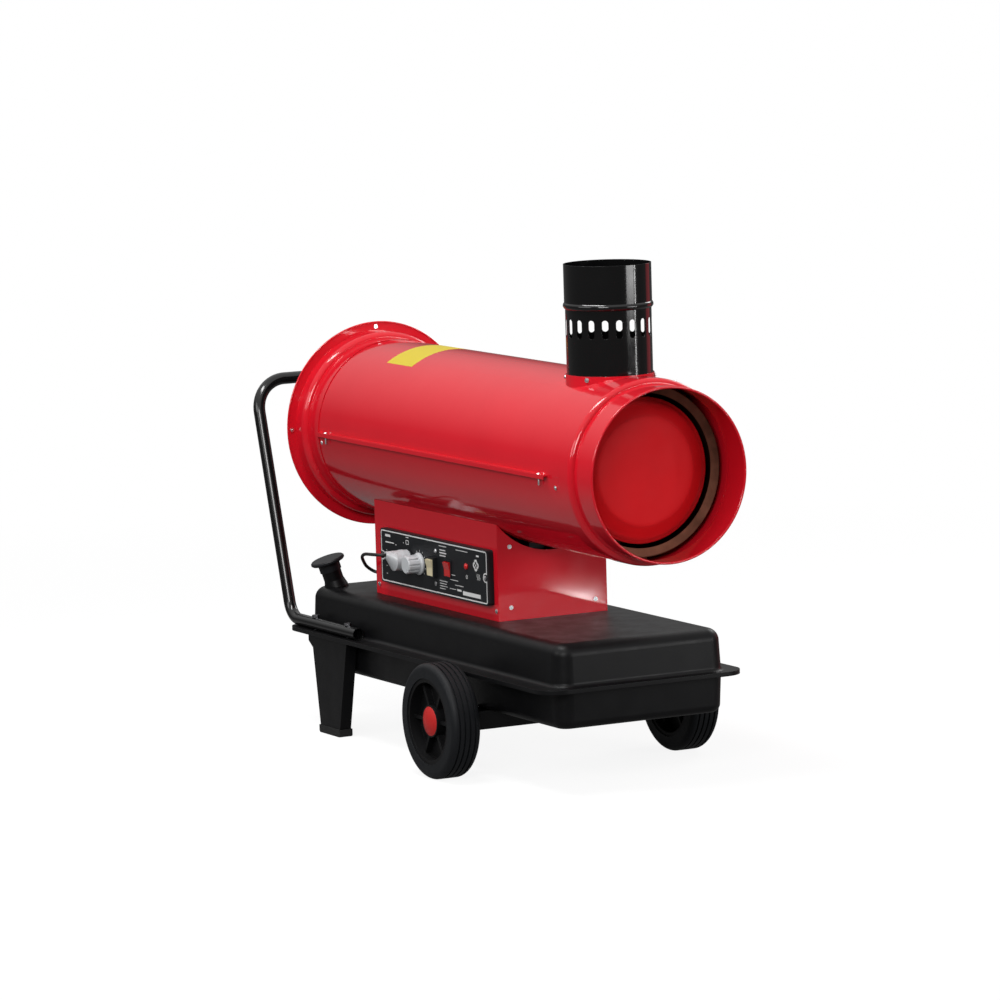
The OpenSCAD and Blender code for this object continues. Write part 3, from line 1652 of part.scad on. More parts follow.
// Solid of the tank's upper half, to trim what stands on it
module tank_top_form() {
  h = tank_top_h - tank_joint_h;
  translate([wall_mid_x, 0, tank_joint_h]) {
    led_round(wall_l, wall_w, wall_corner_r) wall_solid(h, top_edge_r, root_r, 0);
    block(wall_l - 2 * wall_corner_r, wall_w - 2 * wall_corner_r, 0, h);
  }
}

module filler_neck() {
  flare_r = neck_r + neck_base_out;
  color("#1b1b1c") difference() {
    union() {
      on_filler() translate([0, 0, -neck_sink]) cylinder(h = neck_l, r = neck_r);
      difference() {
        on_filler() rotate_extrude() polygon([
          [0, -neck_base_dip],
          [flare_r, -neck_base_dip],
          [flare_r, 0],
          [neck_r, neck_base_h],
          [0, neck_base_h]
        ]);
        tank_top_form();
      }
    }
    on_filler() translate([0, 0, -neck_sink - cut]) cylinder(h = neck_l + 2 * cut, r = neck_r - neck_t);
  }
}

module filler_strainer() {
  color("silver") on_filler() translate([0, 0, neck_top]) difference() {
    union() {
      cylinder(h = strainer_t, r = neck_r);
      translate([0, 0, -strainer_l]) cylinder(h = strainer_l, r = strainer_r);
    }
    translate([0, 0, strainer_t - strainer_l]) cylinder(h = strainer_l + cut, r = strainer_r - strainer_t);
  }
}

module fuel_cap() {
  skirt_in_r = neck_r + seat;
  color("#151516") on_filler() translate([0, 0, neck_top + strainer_t + seat]) rotate_extrude() {
    polygon([
      [0, 0],
      [cap_d / 2 - cap_edge, 0],
      [cap_d / 2, cap_edge],
      [cap_d / 2, cap_t - cap_edge],
      [cap_d / 2 - cap_edge, cap_t],
      [0, cap_t]
    ]);
    translate([skirt_in_r, -cap_skirt_l]) square([cap_skirt_d / 2 - skirt_in_r, cap_skirt_l + cap_edge]);
  }
}

module drain_plug() {
  color("dimgray") translate([drain_x, 0, tank_floor_h - bolt_head_h]) {
    cylinder(h = bolt_head_h, d = drain_head_d, $fn = 6);
    cylinder(h = 2 * bolt_head_h + tank_t, d = drain_d);
  }
}

// Side view of a leg, drawn in by an inset
module leg_outline(inset) {
  foot_x0 = leg_x0 + leg_foot_in;
  polygon([
    [leg_x0 + inset, leg_top_z - inset],
    [leg_x1 - inset, leg_top_z - inset],
    [foot_x0 + leg_foot_l - inset, pad_h + inset],
    [foot_x0 + inset, pad_h + inset],
    [leg_x0 + leg_shoulder_in + inset, leg_top_z - leg_shoulder_h - leg_shoulder_slope],
    [leg_x0 + inset, leg_top_z - leg_shoulder_h + inset / 2]
  ]);
}

// Leg on the -Y side
module leg() {
  color("#1b1b1c") difference() {
    translate([0, -leg_y + leg_depth, 0]) rotate([90, 0, 0]) linear_extrude(leg_depth) leg_outline(0);
    translate([0, -leg_y + leg_depth + cut, 0]) rotate([90, 0, 0])
      linear_extrude(leg_depth + cut - leg_t) leg_outline(leg_t);
    at_handle_bolts() handle_bolt_hole();
  }
}

module right_leg() {
  leg();
}

module left_leg() {
  mirror([0, 1, 0]) leg();
}

module foot_pads() {
  l = leg_foot_l + 2 * pad_out;
  color("#121212") both_sides()
    translate([leg_x0 + leg_foot_in - pad_out, -leg_y + leg_depth + pad_out, 0]) rotate([90, 0, 0])
      linear_extrude(leg_depth + 2 * pad_out) polygon([
        [pad_edge, 0],
        [l - pad_edge, 0],
        [l, pad_edge],
        [l, pad_h],
        [0, pad_h],
        [0, pad_edge]
      ]);
}

// Bent bar of the handle, with its two ends lengthened by extra
module handle_bar(r, extra) {
  $fn = 32;
  straight_x = handle_knee_x + knee_back;
  both_sides() {
    along_x(straight_x, -handle_y, handle_z) cylinder(h = handle_end_x - straight_x + extra, r = r);
    translate([straight_x, -handle_y, handle_z + handle_low_r]) rotate([90, 0, 0])
      rotate([0, 0, 270 - knee_turn]) rotate_extrude(angle = knee_turn)
        translate([handle_low_r, 0]) circle(r = r);
    translate([handle_knee_x, -handle_y, handle_z]) rotate([0, -handle_lean, 0]) {
      translate([0, 0, knee_back]) cylinder(h = handle_arm_l - knee_back - handle_bend_r, r = r);
      translate([0, handle_bend_r, handle_arm_l - handle_bend_r]) rotate([90, 0, 90]) rotate([0, 0, 90])
        rotate_extrude(angle = 90) translate([handle_bend_r, 0]) circle(r = r);
    }
  }
  translate([handle_knee_x, handle_bend_r - handle_y, handle_z]) rotate([0, -handle_lean, 0])
    translate([0, 0, handle_arm_l]) rotate([-90, 0, 0]) cylinder(h = handle_w - 2 * handle_bend_r, r = r);
}

module handle() {
  color("#141416") difference() {
    handle_bar(handle_r, 0);
    handle_bar(handle_r - handle_t, cut);
    at_handle_bolts() handle_bolt_hole();
  }
}

module axle() {
  color("dimgray") translate([axle_x, -axle_half, axle_z]) rotate([-90, 0, 0])
    cylinder(h = 2 * axle_half, r = axle_r);
}

// Children in a wheel's frame: Z outward along the axle from the tyre's inner side, side 1 is +Y
module at_wheel(side) {
  translate([axle_x, side * wheel_in_y, axle_z]) rotate([-90 * side, 0, 0]) children();
}

module axle_clips() {
  spacer_l = wheel_in_y + hub_in - channel_l / 2 - 2 * clip_gap;
  color("silver") for (side = [-1, 1]) at_wheel(side) {
    translate([0, 0, hub_in - clip_gap - spacer_l]) tube(clip_r, axle_r + play, spacer_l);
    translate([0, 0, hub_boss_l - clip_pocket + clip_gap]) tube(clip_r, axle_r + play, clip_t);
  }
}

module tyre() {
  color("#161616") rotate_extrude() difference() {
    translate([hub_r, 0]) square([wheel_d / 2 - hub_r, tyre_w]);
    for (z = [0, 1])
      translate([wheel_d / 2 - tyre_round, z * tyre_w]) mirror([0, z]) difference() {
        translate([0, -cut]) square([tyre_round + cut, tyre_round + cut]);
        translate([0, tyre_round]) circle(r = tyre_round);
      }
    for (k = [0 : groove_count - 1])
      translate([wheel_d / 2 - groove_d, (tyre_w - groove_w + (2 * k + 1 - groove_count) * groove_pitch) / 2])
        square([groove_d + cut, groove_w]);
  }
}

module hub() {
  rim_r = hub_r - hub_rim_t;
  color("#1e1e20") difference() {
    union() {
      translate([0, 0, hub_in]) tube(hub_r, rim_r, hub_w);
      translate([0, 0, hub_in]) cylinder(h = hub_boss_l - hub_in, r = hub_boss_r);
      translate([0, 0, tyre_w / 2 - hub_web_t / 2]) cylinder(h = hub_web_t, r = rim_r + hub_rim_t / 2);
      for (k = [0 : hub_ribs - 1])
        rotate([0, 0, k * 360 / hub_ribs]) translate([0, -hub_rib_t / 2, hub_in + hub_rib_in])
          cube([rim_r + hub_rim_t / 2, hub_rib_t, hub_w - 2 * hub_rib_in]);
    }
    cylinder(h = tyre_w, r = axle_r + play);
    translate([0, 0, hub_boss_l - clip_pocket]) cylinder(h = tyre_w, r = clip_r + clip_gap);
  }
}

module hub_cap() {
  r = hub_cap_d / 2;
  bow_r = (r * r + hub_cap_t * hub_cap_t) / (2 * hub_cap_t);
  color("red") translate([0, 0, hub_boss_l]) intersection() {
    cylinder(h = hub_cap_t, r = r);
    translate([0, 0, hub_cap_t - bow_r]) sphere(r = bow_r);
  }
}

module left_tyre() {
  at_wheel(1) tyre();
}

module left_hub() {
  at_wheel(1) hub();
}

module left_hub_cap() {
  at_wheel(1) hub_cap();
}

module right_tyre() {
  at_wheel(-1) tyre();
}

module right_hub() {
  at_wheel(-1) hub();
}

module right_hub_cap() {
  at_wheel(-1) hub_cap();
}

upper_casing();
lower_casing();
intake_ring();
rear_guard();
outlet_collar();
pan_screws();
hex_bolts();
inner_liner();
heat_exchanger();
exchanger_cap();
combustion_chamber();
flue_stub();
flue_fitting();
axial_fan();
motor_shaft();
burner_impeller();
motor();
motor_bracket();
burner_housing();
blast_tube();
flame_head();
fuel_pump();
solenoid_valve();
fuel_filter();
fuel_lines();
fan_thermostat();
ignition_transformer();
burner_control();
control_box();
front_plate();
control_panel();
thermostat_socket();
thermostat_plug();
jumper_lead();
cable_glands();
thermostat_knob();
knob_switch();
rocker_frames();
cream_rocker();
red_rocker();
pilot_lamp();
tank_upper();
tank_lower();
filler_neck();
filler_strainer();
fuel_cap();
drain_plug();
left_leg();
right_leg();
foot_pads();
handle();
axle();
axle_clips();
left_tyre();
left_hub();
left_hub_cap();
right_tyre();
right_hub();
right_hub_cap();
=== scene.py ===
import json
import math

import bmesh
import bpy
import numpy as np
from mathutils import Matrix, Vector


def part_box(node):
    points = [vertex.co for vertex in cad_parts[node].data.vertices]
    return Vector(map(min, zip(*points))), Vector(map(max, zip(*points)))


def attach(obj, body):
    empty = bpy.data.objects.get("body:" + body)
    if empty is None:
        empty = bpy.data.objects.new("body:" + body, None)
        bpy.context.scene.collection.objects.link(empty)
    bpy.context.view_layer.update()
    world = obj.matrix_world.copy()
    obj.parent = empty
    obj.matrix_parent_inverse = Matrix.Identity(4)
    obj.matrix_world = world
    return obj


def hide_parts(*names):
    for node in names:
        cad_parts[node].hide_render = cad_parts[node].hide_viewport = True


# The heater dressed for its picture: paint, plastics, rubber and bare steel on the packed
# solids, with the screws, lead, sticker and panel print modelled here. Sizes are in metres,
# and the tables in millimetres say so.

MM = 0.001
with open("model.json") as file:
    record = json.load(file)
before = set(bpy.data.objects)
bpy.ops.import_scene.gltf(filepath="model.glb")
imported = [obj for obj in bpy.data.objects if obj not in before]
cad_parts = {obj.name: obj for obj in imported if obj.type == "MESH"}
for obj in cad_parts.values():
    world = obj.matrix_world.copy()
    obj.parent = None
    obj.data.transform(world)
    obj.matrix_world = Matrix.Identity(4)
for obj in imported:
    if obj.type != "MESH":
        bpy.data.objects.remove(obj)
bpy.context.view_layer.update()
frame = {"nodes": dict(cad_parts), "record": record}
nodes = frame["nodes"]

# The camera of the photograph, fitted to the heater's edges: its place in metres, its angles
# in degrees, its lens and sensor in millimetres
CAMERA_PLACE = (8.675, -4.608, 1.662)
CAMERA_YAW = 152.0
CAMERA_PITCH = -7.07
CAMERA_ROLL = -1.68
CAMERA_LENS = 200.94
SENSOR_WIDTH = 36.0
CAMERA_REACH = 100

# Finishes, as linear colours
RED = (0.66, 0.008, 0.020)
COVER_RED = (0.66, 0.009, 0.014)
BLACK_PAINT = (0.004, 0.004, 0.0042)
TANK_BLACK = (0.0040, 0.0040, 0.0045)
STEEL = (0.86, 0.86, 0.88)
DARK_STEEL = (0.16, 0.16, 0.17)
SCORCHED_STEEL = (0.19, 0.078, 0.050)
CAST_GREY = (0.42, 0.43, 0.45)
BRASS = (0.60, 0.42, 0.16)
PANEL_BLACK = (0.010, 0.011, 0.013)
HUB_BLACK = (0.005, 0.005, 0.0055)
CLEAR_GREY = (0.62, 0.64, 0.66)
CREAM = (0.72, 0.64, 0.42)
SIGNAL_RED = (0.55, 0.012, 0.012)
CAP_RED = (0.55, 0.012, 0.011)
TYRE_BLACK = (0.008, 0.009, 0.0108)
RUBBER_BLACK = (0.010, 0.010, 0.010)
PRINT_WHITE = (0.72, 0.72, 0.72)
STICKER_YELLOW = (0.66, 0.52, 0.050)
DUST_GREY = (0.30, 0.28, 0.26)

# Places that the modelled pieces are set out from
ring_low, ring_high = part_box("intake_ring")
shell_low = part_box("lower_casing")[0]
panel_low, panel_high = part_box("control_panel")
AXIS_Z = (ring_low.z + ring_high.z) / 2
CASING_R = AXIS_Z - shell_low.z
PANEL_FACE_Y = panel_low.y
PANEL_MID_Z = (panel_low.z + panel_high.z) / 2

# Corners closer than these are one: in a mesh made here, and in a packed one
SAME_CORNER = 1e-7
SAME_PACKED_CORNER = 1e-6


def aim_camera():
    yaw = math.radians(CAMERA_YAW)
    pitch = math.radians(CAMERA_PITCH)
    roll = math.radians(CAMERA_ROLL)
    level = math.cos(pitch)
    forward = Vector((math.cos(yaw) * level, math.sin(yaw) * level, math.sin(pitch)))
    level_right = forward.cross(Vector((0, 0, 1))).normalized()
    level_up = level_right.cross(forward)
    right = math.cos(roll) * level_right + math.sin(roll) * level_up
    up = math.cos(roll) * level_up - math.sin(roll) * level_right
    turn = Matrix((right, up, -forward)).transposed().to_4x4()
    data = bpy.data.cameras.new("photo_camera")
    data.sensor_width = SENSOR_WIDTH
    data.lens = CAMERA_LENS
    data.clip_end = CAMERA_REACH
    camera = bpy.data.objects.new("photo_camera", data)
    camera.matrix_world = Matrix.Translation(CAMERA_PLACE) @ turn
    bpy.context.scene.collection.objects.link(camera)
    bpy.context.scene.camera = camera


def new_object(name, mesh):
    piece = bpy.data.objects.new(name, mesh)
    bpy.context.scene.collection.objects.link(piece)
    return piece


def mesh_from(name, bm, smooth=True):
    """A mesh data block from bm, with doubles merged and faces turned outward."""
    bmesh.ops.remove_doubles(bm, verts=bm.verts, dist=SAME_CORNER)
    bmesh.ops.recalc_face_normals(bm, faces=bm.faces)
    mesh = bpy.data.meshes.new(name)
    bm.to_mesh(mesh)
    bm.free()
    for face in mesh.polygons:
        face.use_smooth = smooth
    return mesh


def keep_sharp(mesh, angle):
    """Edges of the mesh that turn by more than angle degrees stay sharp."""
    mesh.set_sharp_from_angle(angle=math.radians(angle))


def circle(bm, radius, z, sides):
    angles = (2 * math.pi * k / sides for k in range(sides))
    return [bm.verts.new((radius * math.cos(a), radius * math.sin(a), z)) for a in angles]


def fill_round(bm, rings):
    """The sides from each ring of corners to the next, and the two ends."""
    for first, second in zip(rings, rings[1:]):
        for k in range(len(first)):
            j = (k + 1) % len(first)
            bm.faces.new((first[k], first[j], second[j], second[k]))
    bm.faces.new(rings[0][::-1])
    bm.faces.new(rings[-1])


def fill_strip(bm, rows, closed=False):
    """The faces of a strip whose rows have four corners each, with ends unless it is closed."""
    pairs = list(zip(rows, rows[1:]))
    if closed:
        pairs.append((rows[-1], rows[0]))
    for near, far in pairs:
        for j, k in ((0, 1), (1, 3), (3, 2), (2, 0)):
            bm.faces.new((near[j], near[k], far[k], far[j]))
    if not closed:
        for row in (rows[0], rows[-1]):
            bm.faces.new((row[0], row[1], row[3], row[2]))


# Shader groups that several materials share. A noise's scale is its number of clouds in a metre.

CLOUD_SCALE = 7.0
SMEAR_SCALE = 26.0
PATCH_SCALE = 14.0
SPECK_SCALE = 900.0
BLOTCH_SCALE = 16.0
BRUSH_STRETCH = (60, 900, 900)

# A mix node's sockets for colours
MIX_FACTOR, MIX_FIRST, MIX_SECOND, MIX_RESULT = 0, 6, 7, 2


def shader_group(name, inputs, outputs):
    group = bpy.data.node_groups.new(name, "ShaderNodeTree")
    for label, kind, value in inputs:
        socket = group.interface.new_socket(label, in_out="INPUT", socket_type=kind)
        socket.default_value = value
    for label, kind in outputs:
        group.interface.new_socket(label, in_out="OUTPUT", socket_type=kind)
    return group, group.nodes.new("NodeGroupInput"), group.nodes.new("NodeGroupOutput")


def add(tree, kind, **settings):
    node = tree.nodes.new(kind)
    for key, value in settings.items():
        setattr(node, key, value)
    return node


def join(tree, source, target):
    tree.links.new(source, target)


def noise(tree, where, scale, detail=3.0, roughness=0.5):
    node = add(tree, "ShaderNodeTexNoise")
    node.inputs["Detail"].default_value = detail
    node.inputs["Roughness"].default_value = roughness
    join(tree, where, node.inputs["Vector"])
    if isinstance(scale, (int, float)):
        node.inputs["Scale"].default_value = scale
    else:
        join(tree, scale, node.inputs["Scale"])
    return node.outputs["Fac"]


def math_node(tree, operation, first, second, clamp=False):
    node = add(tree, "ShaderNodeMath", operation=operation, use_clamp=clamp)
    for socket, value in zip(node.inputs, (first, second)):
        if isinstance(value, (int, float)):
            socket.default_value = value
        else:
            join(tree, value, socket)
    return node.outputs[0]


def spread(tree, value, given, wanted):
    """Value's stretch given, a pair of low and high, mapped to the stretch wanted."""
    node = add(tree, "ShaderNodeMapRange")
    join(tree, value, node.inputs["Value"])
    labels = ("From Min", "From Max", "To Min", "To Max")
    for label, number in zip(labels, (*given, *wanted)):
        if isinstance(number, (int, float)):
            node.inputs[label].default_value = number
        else:
            join(tree, number, node.inputs[label])
    return node.outputs["Result"]


def mix_color(tree, factor, first, second):
    node = add(tree, "ShaderNodeMix", data_type="RGBA")
    join(tree, factor, node.inputs[MIX_FACTOR])
    for socket, value in ((MIX_FIRST, first), (MIX_SECOND, second)):
        if isinstance(value, tuple):
            node.inputs[socket].default_value = (*value, 1)
        else:
            join(tree, value, node.inputs[socket])
    return node.outputs[MIX_RESULT]


def make_surface_group():
    """Slow change of tone, uneven gloss and fine height of a sprayed, cast or moulded skin."""
    group, given, result = shader_group(
        "surface_skin",
        [
            ("Color", "NodeSocketColor", (0.5, 0.5, 0.5, 1)),
            ("Tone", "NodeSocketFloat", 0.1),
            ("Roughness", "NodeSocketFloat", 0.3),
            ("Unevenness", "NodeSocketFloat", 0.05),
            ("Grain", "NodeSocketFloat", 400.0),
        ],
        [
            ("Color", "NodeSocketColor"),
            ("Roughness", "NodeSocketFloat"),
            ("Height", "NodeSocketFloat"),
        ],
    )
    where = add(group, "ShaderNodeTexCoord").outputs["Object"]
    slow = noise(group, where, CLOUD_SCALE, detail=4.0)
    less = math_node(group, "SUBTRACT", 1.0, given.outputs["Tone"])
    shade = spread(group, slow, (0.3, 0.7), (less, 1.0))
    scaled = add(group, "ShaderNodeVectorMath", operation="SCALE")
    join(group, given.outputs["Color"], scaled.inputs[0])
    join(group, shade, scaled.inputs["Scale"])
    join(group, scaled.outputs[0], result.inputs["Color"])
    smears = noise(group, where, SMEAR_SCALE, detail=5.0, roughness=0.6)
    gloss = given.outputs["Roughness"]
    rougher = math_node(group, "ADD", gloss, given.outputs["Unevenness"])
    join(group, spread(group, smears, (0.35, 0.7), (gloss, rougher)), result.inputs["Roughness"])
    join(group, noise(group, where, given.outputs["Grain"], detail=2.0), result.inputs["Height"])
    return group


def make_dust_group():
    """How much dust lies on a surface: most on faces that look up, in patches."""
    group, given, result = shader_group(
        "settled_dust",
        [("Amount", "NodeSocketFloat", 0.1)],
        [("Mask", "NodeSocketFloat")],
    )
    where = add(group, "ShaderNodeTexCoord").outputs["Object"]
    facing = add(group, "ShaderNodeSeparateXYZ")
    join(group, add(group, "ShaderNodeTexCoord").outputs["Normal"], facing.inputs[0])
    upward = spread(group, facing.outputs["Z"], (0.2, 1.0), (0.15, 1.0))
    clouds = noise(group, where, PATCH_SCALE, detail=6.0, roughness=0.65)
    patches = spread(group, clouds, (0.42, 0.75), (0.0, 1.0))
    grains = noise(group, where, SPECK_SCALE, detail=1.0)
    specks = spread(group, grains, (0.62, 0.72), (0.0, 0.8))
    patchy = math_node(group, "MAXIMUM", patches, specks)
    lying = math_node(group, "MULTIPLY", upward, patchy)
    mask = math_node(group, "MULTIPLY", lying, given.outputs["Amount"], clamp=True)
    join(group, mask, result.inputs["Mask"])
    return group


def make_brushed_group():
    """Fine parallel lines of rolled or turned metal, as a height and a change of gloss."""
    group, given, result = shader_group(
        "brushed_lines",
        [("Roughness", "NodeSocketFloat", 0.25), ("Spread", "NodeSocketFloat", 0.15)],
        [("Roughness", "NodeSocketFloat"), ("Height", "NodeSocketFloat")],
    )
    where = add(group, "ShaderNodeTexCoord").outputs["Object"]
    stretch = add(group, "ShaderNodeMapping")
    stretch.inputs["Scale"].default_value = BRUSH_STRETCH
    join(group, where, stretch.inputs["Vector"])
    lines = noise(group, stretch.outputs["Vector"], 1.0, detail=4.0, roughness=0.6)
    gloss = given.outputs["Roughness"]
    rougher = math_node(group, "ADD", gloss, given.outputs["Spread"])
    join(group, spread(group, lines, (0.3, 0.7), (gloss, rougher)), result.inputs["Roughness"])
    join(group, lines, result.inputs["Height"])
    return group


SKIN = make_surface_group()
DUST = make_dust_group()
BRUSHED = make_brushed_group()


# Materials

DUSTY_ROUGHNESS = 0.8
COAT_ROUGHNESS = 0.04
BUMP_DEPTH = 0.2 * MM
EDGE_SAMPLES = 4
SCORCH_DARKNESS = 0.45


def finish(name, color, roughness, tone=0.1, unevenness=0.05, grain=400.0, bump=0.02,
           dust=0.1, specular=0.5, metallic=0.0, coat=0.0, edge=0.4 * MM, clearness=0.0):
    """A painted, cast or moulded surface, its edges rounded by the radius edge."""
    material = bpy.data.materials.new(name)
    material.use_nodes = True
    tree = material.node_tree
    shader = tree.nodes["Principled BSDF"]
    skin = add(tree, "ShaderNodeGroup", node_tree=SKIN)
    skin.inputs["Color"].default_value = (*color, 1)
    levels = {"Tone": tone, "Roughness": roughness, "Unevenness": unevenness, "Grain": grain}
    for label, value in levels.items():
        skin.inputs[label].default_value = value
    dusty = add(tree, "ShaderNodeGroup", node_tree=DUST)
    dusty.inputs["Amount"].default_value = dust
    mask = dusty.outputs["Mask"]
    shown = mix_color(tree, mask, skin.outputs["Color"], DUST_GREY)
    join(tree, shown, shader.inputs["Base Color"])
    dull = spread(tree, mask, (0.0, 1.0), (skin.outputs["Roughness"], DUSTY_ROUGHNESS))
    join(tree, dull, shader.inputs["Roughness"])
    height = add(tree, "ShaderNodeBump")
    height.inputs["Strength"].default_value = bump
    height.inputs["Distance"].default_value = BUMP_DEPTH
    join(tree, skin.outputs["Height"], height.inputs["Height"])
    if edge:
        softened = add(tree, "ShaderNodeBevel", samples=EDGE_SAMPLES)
        softened.inputs["Radius"].default_value = edge
        join(tree, softened.outputs["Normal"], height.inputs["Normal"])
    join(tree, height.outputs["Normal"], shader.inputs["Normal"])
    shader.inputs["Metallic"].default_value = metallic
    shader.inputs["Specular IOR Level"].default_value = specular
    shader.inputs["Coat Weight"].default_value = coat
    shader.inputs["Coat Roughness"].default_value = COAT_ROUGHNESS
    shader.inputs["Transmission Weight"].default_value = clearness
    return material


def bare_metal(name, color, roughness, lines=0.15):
    """Rolled, turned or plated metal with its fine lines."""
    material = finish(name, color, roughness, tone=0.15, bump=0.08, dust=0.04, metallic=1.0)
    tree = material.node_tree
    shader = tree.nodes["Principled BSDF"]
    brushed = add(tree, "ShaderNodeGroup", node_tree=BRUSHED)
    brushed.inputs["Roughness"].default_value = roughness
    brushed.inputs["Spread"].default_value = lines
    join(tree, brushed.outputs["Roughness"], shader.inputs["Roughness"])
    for node in tree.nodes:
        if node.type == "BUMP":
            join(tree, brushed.outputs["Height"], node.inputs["Height"])
    return material


def scorched_metal(name, color, roughness):
    """Sheet that the flame's heat has browned unevenly."""
    material = bare_metal(name, color, roughness, lines=0.2)
    tree = material.node_tree
    shader = tree.nodes["Principled BSDF"]
    where = add(tree, "ShaderNodeTexCoord").outputs["Object"]
    clouds = noise(tree, where, BLOTCH_SCALE, detail=5.0, roughness=0.6)
    blotches = spread(tree, clouds, (0.35, 0.65), (0.0, 1.0))
    darker = tuple(SCORCH_DARKNESS * channel for channel in color)
    join(tree, mix_color(tree, blotches, color, darker), shader.inputs["Base Color"])
    return material


PAINTS_AND_PLASTICS = {
    "red_paint": dict(color=RED, roughness=0.065, tone=0.05, unevenness=0.04, grain=330.0,
                      bump=0.03, dust=0.02, specular=0.45, edge=0.6 * MM),
    "cover_paint": dict(color=COVER_RED, roughness=0.42, tone=0.12, unevenness=0.12,
                        grain=500.0, bump=0.05, dust=0.01, specular=0.08, edge=14 * MM),
    "tank_paint": dict(color=TANK_BLACK, roughness=0.34, tone=0.15, unevenness=0.10,
                       grain=600.0, bump=0.05, dust=0.01, specular=0.16, edge=1.5 * MM),
    "handle_paint": dict(color=BLACK_PAINT, roughness=0.12, grain=500.0, bump=0.03, dust=0.01),
    "flue_paint": dict(color=BLACK_PAINT, roughness=0.09, grain=380.0, dust=0.01),
    "cast_aluminium": dict(color=CAST_GREY, roughness=0.45, grain=1400.0, bump=0.35,
                           metallic=1.0),
    "panel_plastic": dict(color=PANEL_BLACK, roughness=0.42, grain=2600.0, bump=0.12,
                          dust=0.02, specular=0.2, edge=0.5 * MM),
    "hub_plastic": dict(color=HUB_BLACK, roughness=0.48, grain=1800.0, bump=0.2, dust=0.02,
                        specular=0.15, edge=0.9 * MM),
    "grey_plastic": dict(color=CLEAR_GREY, roughness=0.26, tone=0.06, grain=900.0, bump=0.04,
                         dust=0.01, edge=0.7 * MM, clearness=0.12),
    "cream_plastic": dict(color=CREAM, roughness=0.3, tone=0.04, bump=0.03, dust=0.04),
    "red_plastic": dict(color=SIGNAL_RED, roughness=0.2, tone=0.05, dust=0.02, coat=0.2),
    "cap_plastic": dict(color=CAP_RED, roughness=0.42, tone=0.06, grain=1500.0, bump=0.08,
                        dust=0.04),
    "tyre_rubber": dict(color=TYRE_BLACK, roughness=0.46, tone=0.2, unevenness=0.14,
                        grain=1300.0, bump=0.3, dust=0.05, specular=0.18, edge=0.6 * MM),
    "black_rubber": dict(color=RUBBER_BLACK, roughness=0.5, grain=1600.0, bump=0.2, dust=0.08,
                         specular=0.35),
    "print_white": dict(color=PRINT_WHITE, roughness=0.45, tone=0.06, dust=0.03, edge=0),
    "sticker_yellow": dict(color=STICKER_YELLOW, roughness=0.5, tone=0.07, bump=0.03,
                           dust=0.02, specular=0.15, edge=0),
}
BARE_METALS = {
    "guard_wire": dict(color=DARK_STEEL, roughness=0.32),
    "screw_steel": dict(color=STEEL, roughness=0.22),
    "dark_steel": dict(color=DARK_STEEL, roughness=0.30),
    "brass_parts": dict(color=BRASS, roughness=0.24),
}


def make_materials():
    materials = {name: finish(name, **look) for name, look in PAINTS_AND_PLASTICS.items()}
    for name, look in BARE_METALS.items():
        materials[name] = bare_metal(name, **look)
    materials["heat_steel"] = scorched_metal("heat_steel", SCORCHED_STEEL, 0.42)
    return materials


MATERIALS = make_materials()

# Pieces of a duller red than the rest of their slot
CAPS = ("left_hub_cap", "right_hub_cap")


def dress_nodes():
    """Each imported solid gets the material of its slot."""
    slots = {part["node"]: part["material_slot"] for part in frame["record"]["subparts"]}
    for name, node in nodes.items():
        material = MATERIALS["cap_plastic" if name in CAPS else slots[name]]
        node.data.materials.clear()
        node.data.materials.append(material)


# Screws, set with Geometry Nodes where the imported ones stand

HEAD_R = 4.0 * MM
SHANK_R = 2.0 * MM
SCREW_SEED = 7
PLACE_DIGITS = 5
HEAD_CREASE = 35

# Sizes of a head whose radius is one
HEAD_SIDES = 40
HEAD_H = 0.65
HEAD_DOME_R = 1.25
DOME_STEPS = 7
RECESS_REACH = 0.53
RECESS_W = 0.29
RECESS_DEPTH = 0.4
RECESS_TAPER = 0.5

# Sizes of a shank whose radius and length are one
THREAD_SIDES = 12
THREAD_TURNS = 12
THREAD_ROOT_R = 0.86


def islands(mesh):
    """The separate pieces of a mesh, each as its corners and its faces' areas and normals."""
    bm = bmesh.new()
    bm.from_mesh(mesh)
    bmesh.ops.remove_doubles(bm, verts=bm.verts, dist=SAME_PACKED_CORNER)
    unseen = dict.fromkeys(bm.verts)
    found = []
    while unseen:
        heap = [unseen.popitem()[0]]
        members = list(heap)
        while heap:
            for edge in heap.pop().link_edges:
                for corner in edge.verts:
                    if corner in unseen:
                        del unseen[corner]
                        heap.append(corner)
                        members.append(corner)
        faces = dict.fromkeys(face for corner in members for face in corner.link_faces)
        points = np.array([corner.co for corner in members])
        areas = np.array([face.calc_area() for face in faces])
        normals = np.array([face.normal for face in faces])
        found.append((points, areas, normals))
    bm.free()
    return found


def screw_axis(points, areas, normals):
    """Where a turned screw's head sits, the way it looks, and its shank's length."""
    tensor = (normals * areas[:, None]).T @ normals
    values, vectors = np.linalg.eigh(tensor)
    odd = 0 if values[1] - values[0] > values[2] - values[1] else 2
    axis = vectors[:, odd]
    centre = points.mean(0)
    along = (points - centre) @ axis
    away = np.linalg.norm(points - centre - np.outer(along, axis), axis=1)
    middle = np.median(along)
    if away[along > middle].max() < away[along < middle].max() - 0.5 * SHANK_R:
        axis = -axis
        along = -along
    wide = away > (HEAD_R + SHANK_R) / 2
    base = along[wide].min()
    return centre + axis * base, axis, base - along.min()


